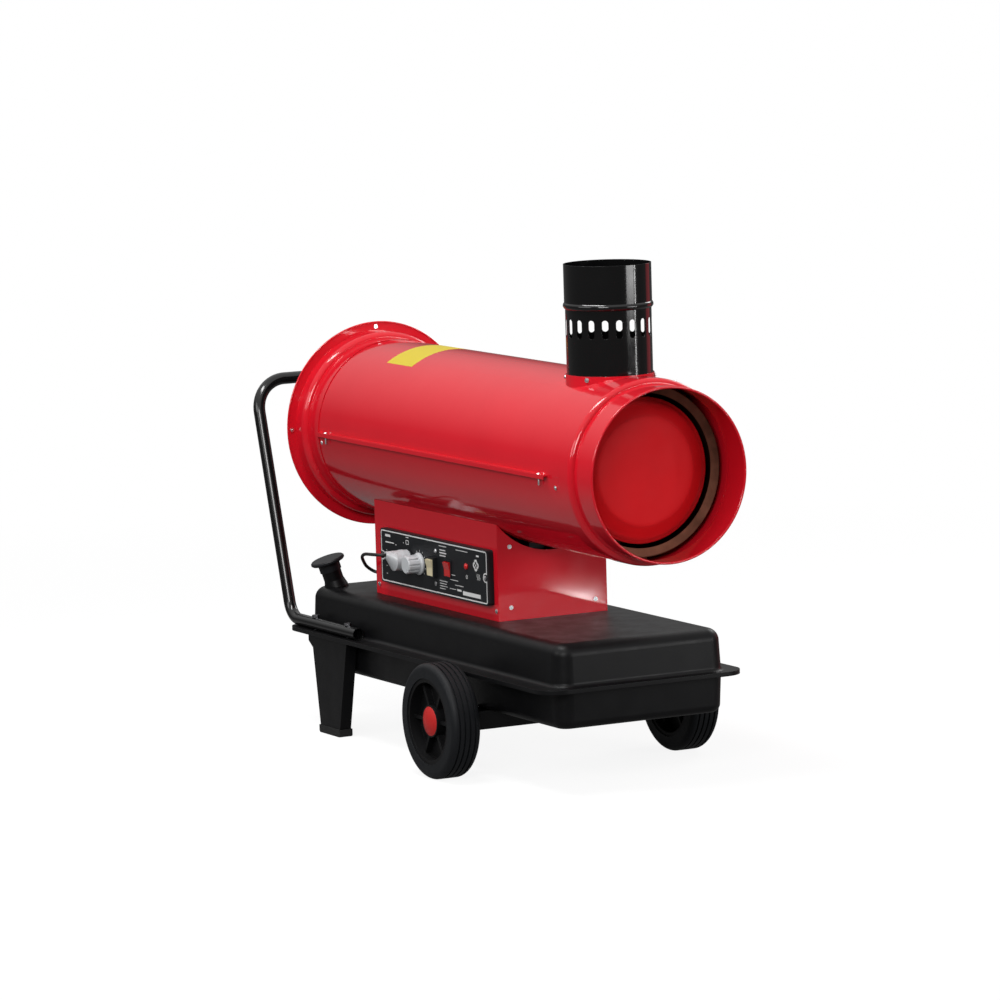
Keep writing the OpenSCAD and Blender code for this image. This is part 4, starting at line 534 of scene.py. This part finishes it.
def pan_head_form():
    """A domed head of radius one, its flat side on z = 0."""
    bm = bmesh.new()
    rings = [circle(bm, 1.0, 0.0, HEAD_SIDES)]
    for step in range(DOME_STEPS):
        r = 1 - step / DOME_STEPS
        z = HEAD_H - HEAD_DOME_R + math.sqrt(HEAD_DOME_R**2 - r**2)
        rings.append(circle(bm, r, z, HEAD_SIDES))
    fill_round(bm, rings)
    return new_object("pan_head_form", mesh_from("pan_head_form", bm))


def cross_cutter():
    """The cross that is cut into a head, drawn in towards its foot."""
    bm = bmesh.new()
    half = RECESS_W / 2
    outline = [
        (RECESS_REACH, -half), (RECESS_REACH, half), (half, half), (half, RECESS_REACH),
        (-half, RECESS_REACH), (-half, half), (-RECESS_REACH, half), (-RECESS_REACH, -half),
        (-half, -half), (-half, -RECESS_REACH), (half, -RECESS_REACH), (half, -half),
    ]
    top = [bm.verts.new((x, y, 2 * HEAD_H)) for x, y in outline]
    foot = [
        bm.verts.new((RECESS_TAPER * x, RECESS_TAPER * y, HEAD_H - RECESS_DEPTH))
        for x, y in outline
    ]
    fill_round(bm, [foot, top])
    return new_object("cross_cutter", mesh_from("cross_cutter", bm, smooth=False))


def evaluated_mesh(piece, name):
    graph = bpy.context.evaluated_depsgraph_get()
    mesh = bpy.data.meshes.new_from_object(piece.evaluated_get(graph), depsgraph=graph)
    mesh.name = name
    return mesh


def recessed_head():
    """The domed head with the cross cut out of it."""
    head = pan_head_form()
    cutter = cross_cutter()
    cut = head.modifiers.new("recess", "BOOLEAN")
    cut.operation = "DIFFERENCE"
    cut.solver = "EXACT"
    cut.object = cutter
    mesh = evaluated_mesh(head, "recessed_head")
    for spare in (head, cutter):
        bpy.data.objects.remove(spare)
    for face in mesh.polygons:
        face.use_smooth = True
    keep_sharp(mesh, HEAD_CREASE)
    return new_object("recessed_head", mesh)


def threaded_shank():
    """A shank of radius and length one below z = 0, with thread ridges."""
    bm = bmesh.new()
    rings = []
    for step in range(2 * THREAD_TURNS + 1):
        r = 1.0 if step % 2 else THREAD_ROOT_R
        rings.append(circle(bm, r, -step / (2 * THREAD_TURNS), THREAD_SIDES))
    fill_round(bm, rings)
    return new_object("threaded_shank", mesh_from("threaded_shank", bm))


def screw_tree(head, shank, material):
    """Geometry Nodes that stand a head and a shank on each point, turned to its facing."""
    tree = bpy.data.node_groups.new("screws_on_points", "GeometryNodeTree")
    tree.interface.new_socket("Geometry", in_out="INPUT", socket_type="NodeSocketGeometry")
    for label, kind in (("Head Radius", "Float"), ("Shank Radius", "Float"), ("Seed", "Int")):
        tree.interface.new_socket(label, in_out="INPUT", socket_type="NodeSocket" + kind)
    tree.interface.new_socket("Geometry", in_out="OUTPUT", socket_type="NodeSocketGeometry")
    given = add(tree, "NodeGroupInput")
    result = add(tree, "NodeGroupOutput")
    facing = add(tree, "GeometryNodeInputNamedAttribute", data_type="FLOAT_VECTOR")
    facing.inputs["Name"].default_value = "facing"
    length = add(tree, "GeometryNodeInputNamedAttribute", data_type="FLOAT")
    length.inputs["Name"].default_value = "shank_length"
    stand = add(tree, "FunctionNodeAlignRotationToVector", axis="Z")
    join(tree, facing.outputs["Attribute"], stand.inputs["Vector"])
    chance = add(tree, "FunctionNodeRandomValue", data_type="FLOAT")
    chance.inputs["Max"].default_value = math.pi / 2
    join(tree, given.outputs["Seed"], chance.inputs["Seed"])
    spin = add(tree, "FunctionNodeAxisAngleToRotation")
    spin.inputs["Axis"].default_value = (0, 0, 1)
    join(tree, chance.outputs["Value"], spin.inputs["Angle"])
    turned = add(tree, "FunctionNodeRotateRotation", rotation_space="LOCAL")
    join(tree, stand.outputs["Rotation"], turned.inputs["Rotation"])
    join(tree, spin.outputs["Rotation"], turned.inputs["Rotate By"])
    head_size = add(tree, "ShaderNodeCombineXYZ")
    shank_size = add(tree, "ShaderNodeCombineXYZ")
    for label in "XYZ":
        join(tree, given.outputs["Head Radius"], head_size.inputs[label])
        source = length.outputs["Attribute"] if label == "Z" else given.outputs["Shank Radius"]
        join(tree, source, shank_size.inputs[label])
    merged = add(tree, "GeometryNodeJoinGeometry")
    for form, size in ((head, head_size), (shank, shank_size)):
        shape = add(tree, "GeometryNodeObjectInfo")
        shape.inputs["Object"].default_value = form
        stood = add(tree, "GeometryNodeInstanceOnPoints")
        join(tree, given.outputs["Geometry"], stood.inputs["Points"])
        join(tree, shape.outputs["Geometry"], stood.inputs["Instance"])
        join(tree, turned.outputs["Rotation"], stood.inputs["Rotation"])
        join(tree, size.outputs["Vector"], stood.inputs["Scale"])
        join(tree, stood.outputs["Instances"], merged.inputs["Geometry"])
    solid = add(tree, "GeometryNodeRealizeInstances")
    join(tree, merged.outputs["Geometry"], solid.inputs["Geometry"])
    painted = add(tree, "GeometryNodeSetMaterial")
    painted.inputs["Material"].default_value = material
    join(tree, solid.outputs["Geometry"], painted.inputs["Geometry"])
    join(tree, painted.outputs["Geometry"], result.inputs["Geometry"])
    return tree


def make_screws():
    """Cross-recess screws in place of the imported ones."""
    places, facings, lengths = [], [], []
    for points, areas, normals in islands(nodes["pan_screws"].data):
        place, axis, length = screw_axis(points, areas, normals)
        places.append(place)
        facings.append(axis)
        lengths.append(length)
    # Sorted by place, so that each screw keeps its random turn from run to run
    rounded = [tuple(round(float(v), PLACE_DIGITS) for v in place) for place in places]
    order = sorted(range(len(places)), key=lambda k: rounded[k])
    mesh = bpy.data.meshes.new("screw_points")
    mesh.from_pydata([tuple(places[k]) for k in order], [], [])
    facing = mesh.attributes.new("facing", "FLOAT_VECTOR", "POINT")
    facing.data.foreach_set("vector", np.array([facings[k] for k in order], np.float32).ravel())
    length = mesh.attributes.new("shank_length", "FLOAT", "POINT")
    length.data.foreach_set("value", np.array([lengths[k] for k in order], np.float32))
    points = new_object("screw_points", mesh)
    head = recessed_head()
    shank = threaded_shank()
    tree = screw_tree(head, shank, MATERIALS["screw_steel"])
    modifier = points.modifiers.new("screws", "NODES")
    modifier.node_group = tree
    sizes = {"Head Radius": HEAD_R, "Shank Radius": SHANK_R, "Seed": SCREW_SEED}
    for socket in tree.interface.items_tree:
        if socket.name in sizes:
            modifier[socket.identifier] = sizes[socket.name]
    screws = new_object("cross_recess_screws", evaluated_mesh(points, "cross_recess_screws"))
    for spare in (points, head, shank):
        bpy.data.objects.remove(spare)
    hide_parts("pan_screws")
    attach(screws, "chassis")


# The thermostat's lead, drawn near the route of its solid. Its places are in millimetres.

LEAD_R = 3.0 * MM
LEAD_SIDES = 20
LEAD_STEPS = 12
LEAD_CREASE = 50
LEAD_START = (-120.0, -165.5, 347.75)
LEAD_END = (-284.5, -94.0, 291.0)
PLUG_STRAIGHT = 7
GLAND_STRAIGHT = 8
LEAD_POINTS = [
    LEAD_START,
    (LEAD_START[0], LEAD_START[1] - PLUG_STRAIGHT, LEAD_START[2]),
    (-140, -180, 347.5),
    (-185, -174, 343),
    (-232, -156, 332),
    (-268, -136, 319),
    (-294, -117, 305),
    (-300, -102, 295),
    (LEAD_END[0] - GLAND_STRAIGHT, LEAD_END[1], LEAD_END[2]),
    LEAD_END,
]


def smooth_route(points, steps):
    """A Catmull-Rom curve through points, with its first and last stretch straight."""
    p = [Vector(point) * MM for point in points]
    route = [p[0]]
    for k in range(1, len(p) - 2):
        a, b, c, d = p[k - 1 : k + 3]
        for step in range(steps):
            t = step / steps
            bend = 2 * b + (c - a) * t
            bend = bend + (2 * a - 5 * b + 4 * c - d) * t**2
            bend = bend + (3 * b - 3 * c + d - a) * t**3
            route.append(bend / 2)
    return route + [p[-2], p[-1]]


def tube_mesh(name, route, radius, sides):
    """A closed round tube along a route, its ring carried on without twist."""
    bm = bmesh.new()
    side = None
    rings = []
    for k, centre in enumerate(route):
        ahead = (route[min(k + 1, len(route) - 1)] - route[max(k - 1, 0)]).normalized()
        if side is None:
            side = ahead.orthogonal()
        side = (side - ahead * side.dot(ahead)).normalized()
        other = ahead.cross(side)
        rings.append([
            bm.verts.new(centre + radius * (math.cos(a) * side + math.sin(a) * other))
            for a in (2 * math.pi * j / sides for j in range(sides))
        ])
    fill_round(bm, rings)
    mesh = mesh_from(name, bm)
    keep_sharp(mesh, LEAD_CREASE)
    return mesh


def make_lead():
    route = smooth_route(LEAD_POINTS, LEAD_STEPS)
    mesh = tube_mesh("thermostat_lead", route, LEAD_R, LEAD_SIDES)
    lead = new_object("thermostat_lead", mesh)
    lead.data.materials.append(MATERIALS["black_rubber"])
    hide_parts("jumper_lead")
    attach(lead, "chassis")


# Sticker and print

FILM_CREASE = 40
FILM_T = 0.12 * MM
STICKER_X = (-248.0 * MM, -150.0 * MM)
STICKER_ANGLES = (57.0, 123.0)
STICKER_STEPS = 40


def make_sticker():
    """A bare yellow film wrapped over the top of the casing."""
    bm = bmesh.new()
    first, last = STICKER_ANGLES
    rows = []
    for k in range(STICKER_STEPS + 1):
        a = math.radians(first + (last - first) * k / STICKER_STEPS)
        row = []
        for x in STICKER_X:
            for r in (CASING_R, CASING_R + FILM_T):
                row.append(bm.verts.new((x, r * math.cos(a), AXIS_Z + r * math.sin(a))))
        rows.append(row)
    fill_strip(bm, rows)
    mesh = mesh_from("yellow_sticker", bm)
    keep_sharp(mesh, FILM_CREASE)
    mesh.materials.append(MATERIALS["sticker_yellow"])
    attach(new_object("yellow_sticker", mesh), "chassis")


PRINT_T = 0.1 * MM
BORDER_IN = 3.6 * MM
BORDER_W = 2.2 * MM
BORDER_CORNER_R = 4.0 * MM
CORNER_STEPS = 6
NOTCH_R = 7.5 * MM
NOTCH_STEPS = 16
END_SCREW_IN = 8.0 * MM
KNOB_X = -75.0 * MM
KNOB_Z = 332.75 * MM
KNOB_MARKS = 11
KNOB_SWEEP = 270.0
KNOB_MARK_R = (21.0 * MM, 24.5 * MM)
MARK_W = 0.9 * MM

# Bare bars where a panel has its words: first x, last x, z and height in millimetres
PLAIN_BARS = [
    (-208, -188, 371, 4.5), (-208, -174, 359, 2.2), (-169, -164, 357, 1.4),
    (-206, -202, 344, 1.2), (-206, -202, 330, 1.2), (-206, -202, 316, 1.2), (-206, -202, 302, 1.2),
    (-127, -117, 375, 1.6), (-138, -136, 364, 1.8),
    (0, 28, 373, 1.4), (2, 24, 366, 1.8), (2, 28, 361, 2.2), (2, 25, 356, 2.0),
    (64, 108, 372, 1.2), (140, 150, 369, 3.0),
    (0, 30, 311, 1.1), (0, 26, 306.5, 1.1), (0, 30, 302, 1.1), (0, 22, 297.5, 1.1),
    (40, 60, 326, 1.0), (40, 70, 317, 1.0), (58, 90, 309, 1.0), (38, 62, 301, 1.0),
    (66, 82, 301, 3.5), (87, 153, 298, 7.0),
]

# Plain signs: x and z of the middle, and size
FAN_SIGN = (138 * MM, 352 * MM), 11 * MM
HEAT_SIGN = (147 * MM, 332 * MM), 5 * MM
LAMP_SIGN = (103 * MM, 328 * MM), 3.2 * MM
SOCKET_SIGN = (-122 * MM, 366 * MM), 5.5 * MM


def arc(centre, radius, start, end, steps):
    """Points on an arc in the panel's plane, from angle start to end in degrees."""
    angles = (math.radians(start + (end - start) * k / steps) for k in range(steps + 1))
    return [(centre[0] + radius * math.cos(a), centre[1] + radius * math.sin(a)) for a in angles]


def print_ribbon(bm, line, width, closed=False):
    """A printed line of the given width on the panel's face along points (x, z)."""
    count = len(line)
    rows = []
    for k, (x, z) in enumerate(line):
        before = line[(k - 1) % count] if closed or k else line[k]
        after = line[(k + 1) % count] if closed or k < count - 1 else line[k]
        ahead = Vector((after[0] - before[0], after[1] - before[1])).normalized()
        out = Vector((-ahead.y, ahead.x)) * width / 2
        row = []
        for sign in (-1, 1):
            for depth in (0, PRINT_T):
                corner = (x + sign * out.x, PANEL_FACE_Y - depth, z + sign * out.y)
                row.append(bm.verts.new(corner))
        rows.append(row)
    fill_strip(bm, rows, closed)


def border_line():
    """A rounded rectangle just inside the panel's edge, stepped in round its two end screws."""
    x0, x1 = panel_low.x + BORDER_IN, panel_high.x - BORDER_IN
    z0, z1 = panel_low.z + BORDER_IN, panel_high.z - BORDER_IN
    r = BORDER_CORNER_R
    rise = math.sqrt(NOTCH_R**2 - (END_SCREW_IN - BORDER_IN) ** 2)
    open_angle = math.degrees(math.atan2(rise, END_SCREW_IN - BORDER_IN))
    right = (panel_high.x - END_SCREW_IN, PANEL_MID_Z)
    left = (panel_low.x + END_SCREW_IN, PANEL_MID_Z)
    return (
        arc((x1 - r, z0 + r), r, -90, 0, CORNER_STEPS)
        + arc(right, NOTCH_R, -open_angle, open_angle - 360, NOTCH_STEPS)
        + arc((x1 - r, z1 - r), r, 0, 90, CORNER_STEPS)
        + arc((x0 + r, z1 - r), r, 90, 180, CORNER_STEPS)
        + arc(left, NOTCH_R, 180 - open_angle, open_angle - 180, NOTCH_STEPS)
        + arc((x0 + r, z0 + r), r, 180, 270, CORNER_STEPS)
    )


def make_panel_print():
    """Border line, the marks round the knob and plain signs, as a raised white print."""
    bm = bmesh.new()
    print_ribbon(bm, border_line(), BORDER_W, closed=True)
    for k in range(KNOB_MARKS):
        a = math.radians(90 + KNOB_SWEEP / 2 - KNOB_SWEEP * k / (KNOB_MARKS - 1))
        mark = [(KNOB_X + r * math.cos(a), KNOB_Z + r * math.sin(a)) for r in KNOB_MARK_R]
        print_ribbon(bm, mark, MARK_W)
    for x0, x1, z, height in PLAIN_BARS:
        print_ribbon(bm, [(x0 * MM, z * MM), (x1 * MM, z * MM)], height * MM)
    fan_sign(bm, *FAN_SIGN)
    heat_sign(bm, *HEAT_SIGN)
    lamp_sign(bm, *LAMP_SIGN)
    socket_sign(bm, *SOCKET_SIGN)
    mesh = mesh_from("panel_print", bm)
    keep_sharp(mesh, FILM_CREASE)
    mesh.materials.append(MATERIALS["print_white"])
    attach(new_object("panel_print", mesh), "chassis")


def fan_sign(bm, centre, size):
    """Four curved blades round a hub."""
    reach, bend_r, stroke = 0.42 * size, 0.36 * size, 0.34 * size
    for start in (0, 90, 180, 270):
        turn = math.radians(start)
        blade = (centre[0] + reach * math.cos(turn), centre[1] + reach * math.sin(turn))
        print_ribbon(bm, arc(blade, bend_r, start - 120, start + 100, 10), stroke)
    print_ribbon(bm, arc(centre, 0.1 * size, 0, 330, 8), 0.16 * size, closed=True)


def heat_sign(bm, centre, size):
    """Three rising waves."""
    steps = 12
    sway = 0.22 * size
    for shift in (-0.9, 0, 0.9):
        wave = [
            (centre[0] + shift * size + sway * math.sin(k / steps * 2 * math.pi),
             centre[1] + (k / steps - 0.5) * 2 * size)
            for k in range(steps + 1)
        ]
        print_ribbon(bm, wave, 0.2 * size)


def lamp_sign(bm, centre, size):
    """A ring with a dot."""
    print_ribbon(bm, arc(centre, size, 0, 345, 23), 0.25 * size, closed=True)
    print_ribbon(bm, arc(centre, 0.2 * size, 0, 330, 8), 0.3 * size, closed=True)


def socket_sign(bm, centre, size):
    """A box with rounded corners."""
    x, z = centre
    w, h, r = size, 0.6 * size, 0.3 * size
    steps = 4
    box = (
        arc((x + w - r, z - h + r), r, -90, 0, steps)
        + arc((x + w - r, z + h - r), r, 0, 90, steps)
        + arc((x - w + r, z + h - r), r, 90, 180, steps)
        + arc((x - w + r, z - h + r), r, 180, 270, steps)
    )
    print_ribbon(bm, box, 0.22 * size, closed=True)


# Studio

FLOOR_SIZE = 60.0
FLOOR_ROUGHNESS = 0.9
FLOOR_TONE = 0.16
FLOOR_GLOW = 0.89
FLOOR_IN_GLOSS = 0.12

# Distances from the heater between which the floor's tone fades and its glow grows to white
FADE = (1.0, 3.5)

# The surround in reflections: dim near the horizon and white overhead, by how far up a ray looks
GLOSS_RISE = (0.1, 0.7)
GLOSS_LEVELS = (0.12, 1.0)
SURROUND_LIGHT = 0.27

# Lamps: name, place, what it looks at, width and height, watts and colour
WHITE = (1.0, 1.0, 1.0)
LAMPS = [
    ("overhead", (0.3, -0.9, 2.8), (0, 0, 0.5), (1.6, 0.4), 42, WHITE),
    ("camera_side", (4.4, -3.6, 2.6), (0.2, 0, 0.5), (2.4, 1.6), 134, WHITE),
    ("panel_side", (0.2, -3.4, 1.9), (0, 0, 0.5), (2.2, 1.0), 24, WHITE),
    ("far_side", (-1.2, 3.0, 2.4), (0, 0, 0.5), (1.4, 1.0), 26, WHITE),
    ("right_strip", (2.84, 2.52, 0.75), (0.42, 0, 0.75), (0.07, 1.4), 10, WHITE),
    ("right_low", (3.5, 1.9, 0.9), (0.5, 0, 0.25), (1.4, 0.8), 30, WHITE),
    ("low_card", (1.55, 0.786, 0.05), (0.195, 0.04, 0.28), (0.09, 0.05), 0.4, WHITE),
    ("red_bounce", (0.0, 2.4, 0.55), (0.4, 0, 0.6), (0.9, 1.4), 3.0, (1.0, 0.05, 0.08)),
]


def seen_directly(tree, in_gloss):
    """One for rays from the camera or through clear pieces, in_gloss for glossy ones, else 0."""
    path = add(tree, "ShaderNodeLightPath").outputs
    glossy = math_node(tree, "MULTIPLY", path["Is Glossy Ray"], in_gloss)
    shown = math_node(tree, "MAXIMUM", path["Is Camera Ray"], path["Is Transmission Ray"])
    return math_node(tree, "MAXIMUM", shown, glossy)


def make_floor():
    """A floor that glows as white as the surround and still shows the heater's shadow."""
    bm = bmesh.new()
    bmesh.ops.create_grid(bm, x_segments=1, y_segments=1, size=FLOOR_SIZE / 2)
    mesh = bpy.data.meshes.new("studio_floor")
    bm.to_mesh(mesh)
    bm.free()
    floor = new_object("studio_floor", mesh)
    material = bpy.data.materials.new("studio_floor")
    material.use_nodes = True
    tree = material.node_tree
    shader = tree.nodes["Principled BSDF"]
    away = add(tree, "ShaderNodeVectorMath", operation="LENGTH")
    join(tree, add(tree, "ShaderNodeTexCoord").outputs["Object"], away.inputs[0])
    tone = spread(tree, away.outputs["Value"], FADE, (FLOOR_TONE, 0.0))
    join(tree, tone, shader.inputs["Base Color"])
    shader.inputs["Roughness"].default_value = FLOOR_ROUGHNESS
    shader.inputs["Specular IOR Level"].default_value = 0.0
    shader.inputs["Emission Color"].default_value = (1, 1, 1, 1)
    level = spread(tree, away.outputs["Value"], FADE, (FLOOR_GLOW, 1.0))
    glow = math_node(tree, "MULTIPLY", seen_directly(tree, FLOOR_IN_GLOSS), level)
    join(tree, glow, shader.inputs["Emission Strength"])
    mesh.materials.append(material)


def make_surround():
    """A white background that lights the heater only a little."""
    world = bpy.data.worlds.new("studio_surround")
    world.use_nodes = True
    bpy.context.scene.world = world
    tree = world.node_tree
    background = tree.nodes["Background"]
    background.inputs["Color"].default_value = (1, 1, 1, 1)
    looking = add(tree, "ShaderNodeSeparateXYZ")
    join(tree, add(tree, "ShaderNodeTexCoord").outputs["Generated"], looking.inputs[0])
    shown = seen_directly(tree, spread(tree, looking.outputs["Z"], GLOSS_RISE, GLOSS_LEVELS))
    path = add(tree, "ShaderNodeLightPath")
    lighting = math_node(tree, "MULTIPLY", path.outputs["Is Diffuse Ray"], SURROUND_LIGHT)
    join(tree, math_node(tree, "MAXIMUM", shown, lighting), background.inputs["Strength"])


def softbox(name, place, aim, size, power, color):
    data = bpy.data.lights.new(name, "AREA")
    data.shape = "RECTANGLE"
    data.size, data.size_y = size
    data.energy = power
    data.color = color
    lamp = bpy.data.objects.new(name, data)
    lamp.location = place
    lamp.rotation_mode = "QUATERNION"
    lamp.rotation_quaternion = (Vector(aim) - Vector(place)).to_track_quat("-Z", "Y")
    bpy.context.scene.collection.objects.link(lamp)


aim_camera()
for lamp in LAMPS:
    softbox(*lamp)
make_surround()
make_floor()
dress_nodes()
make_lead()
make_screws()
make_sticker()
make_panel_print()

bpy.context.scene.view_settings.view_transform = "Standard"
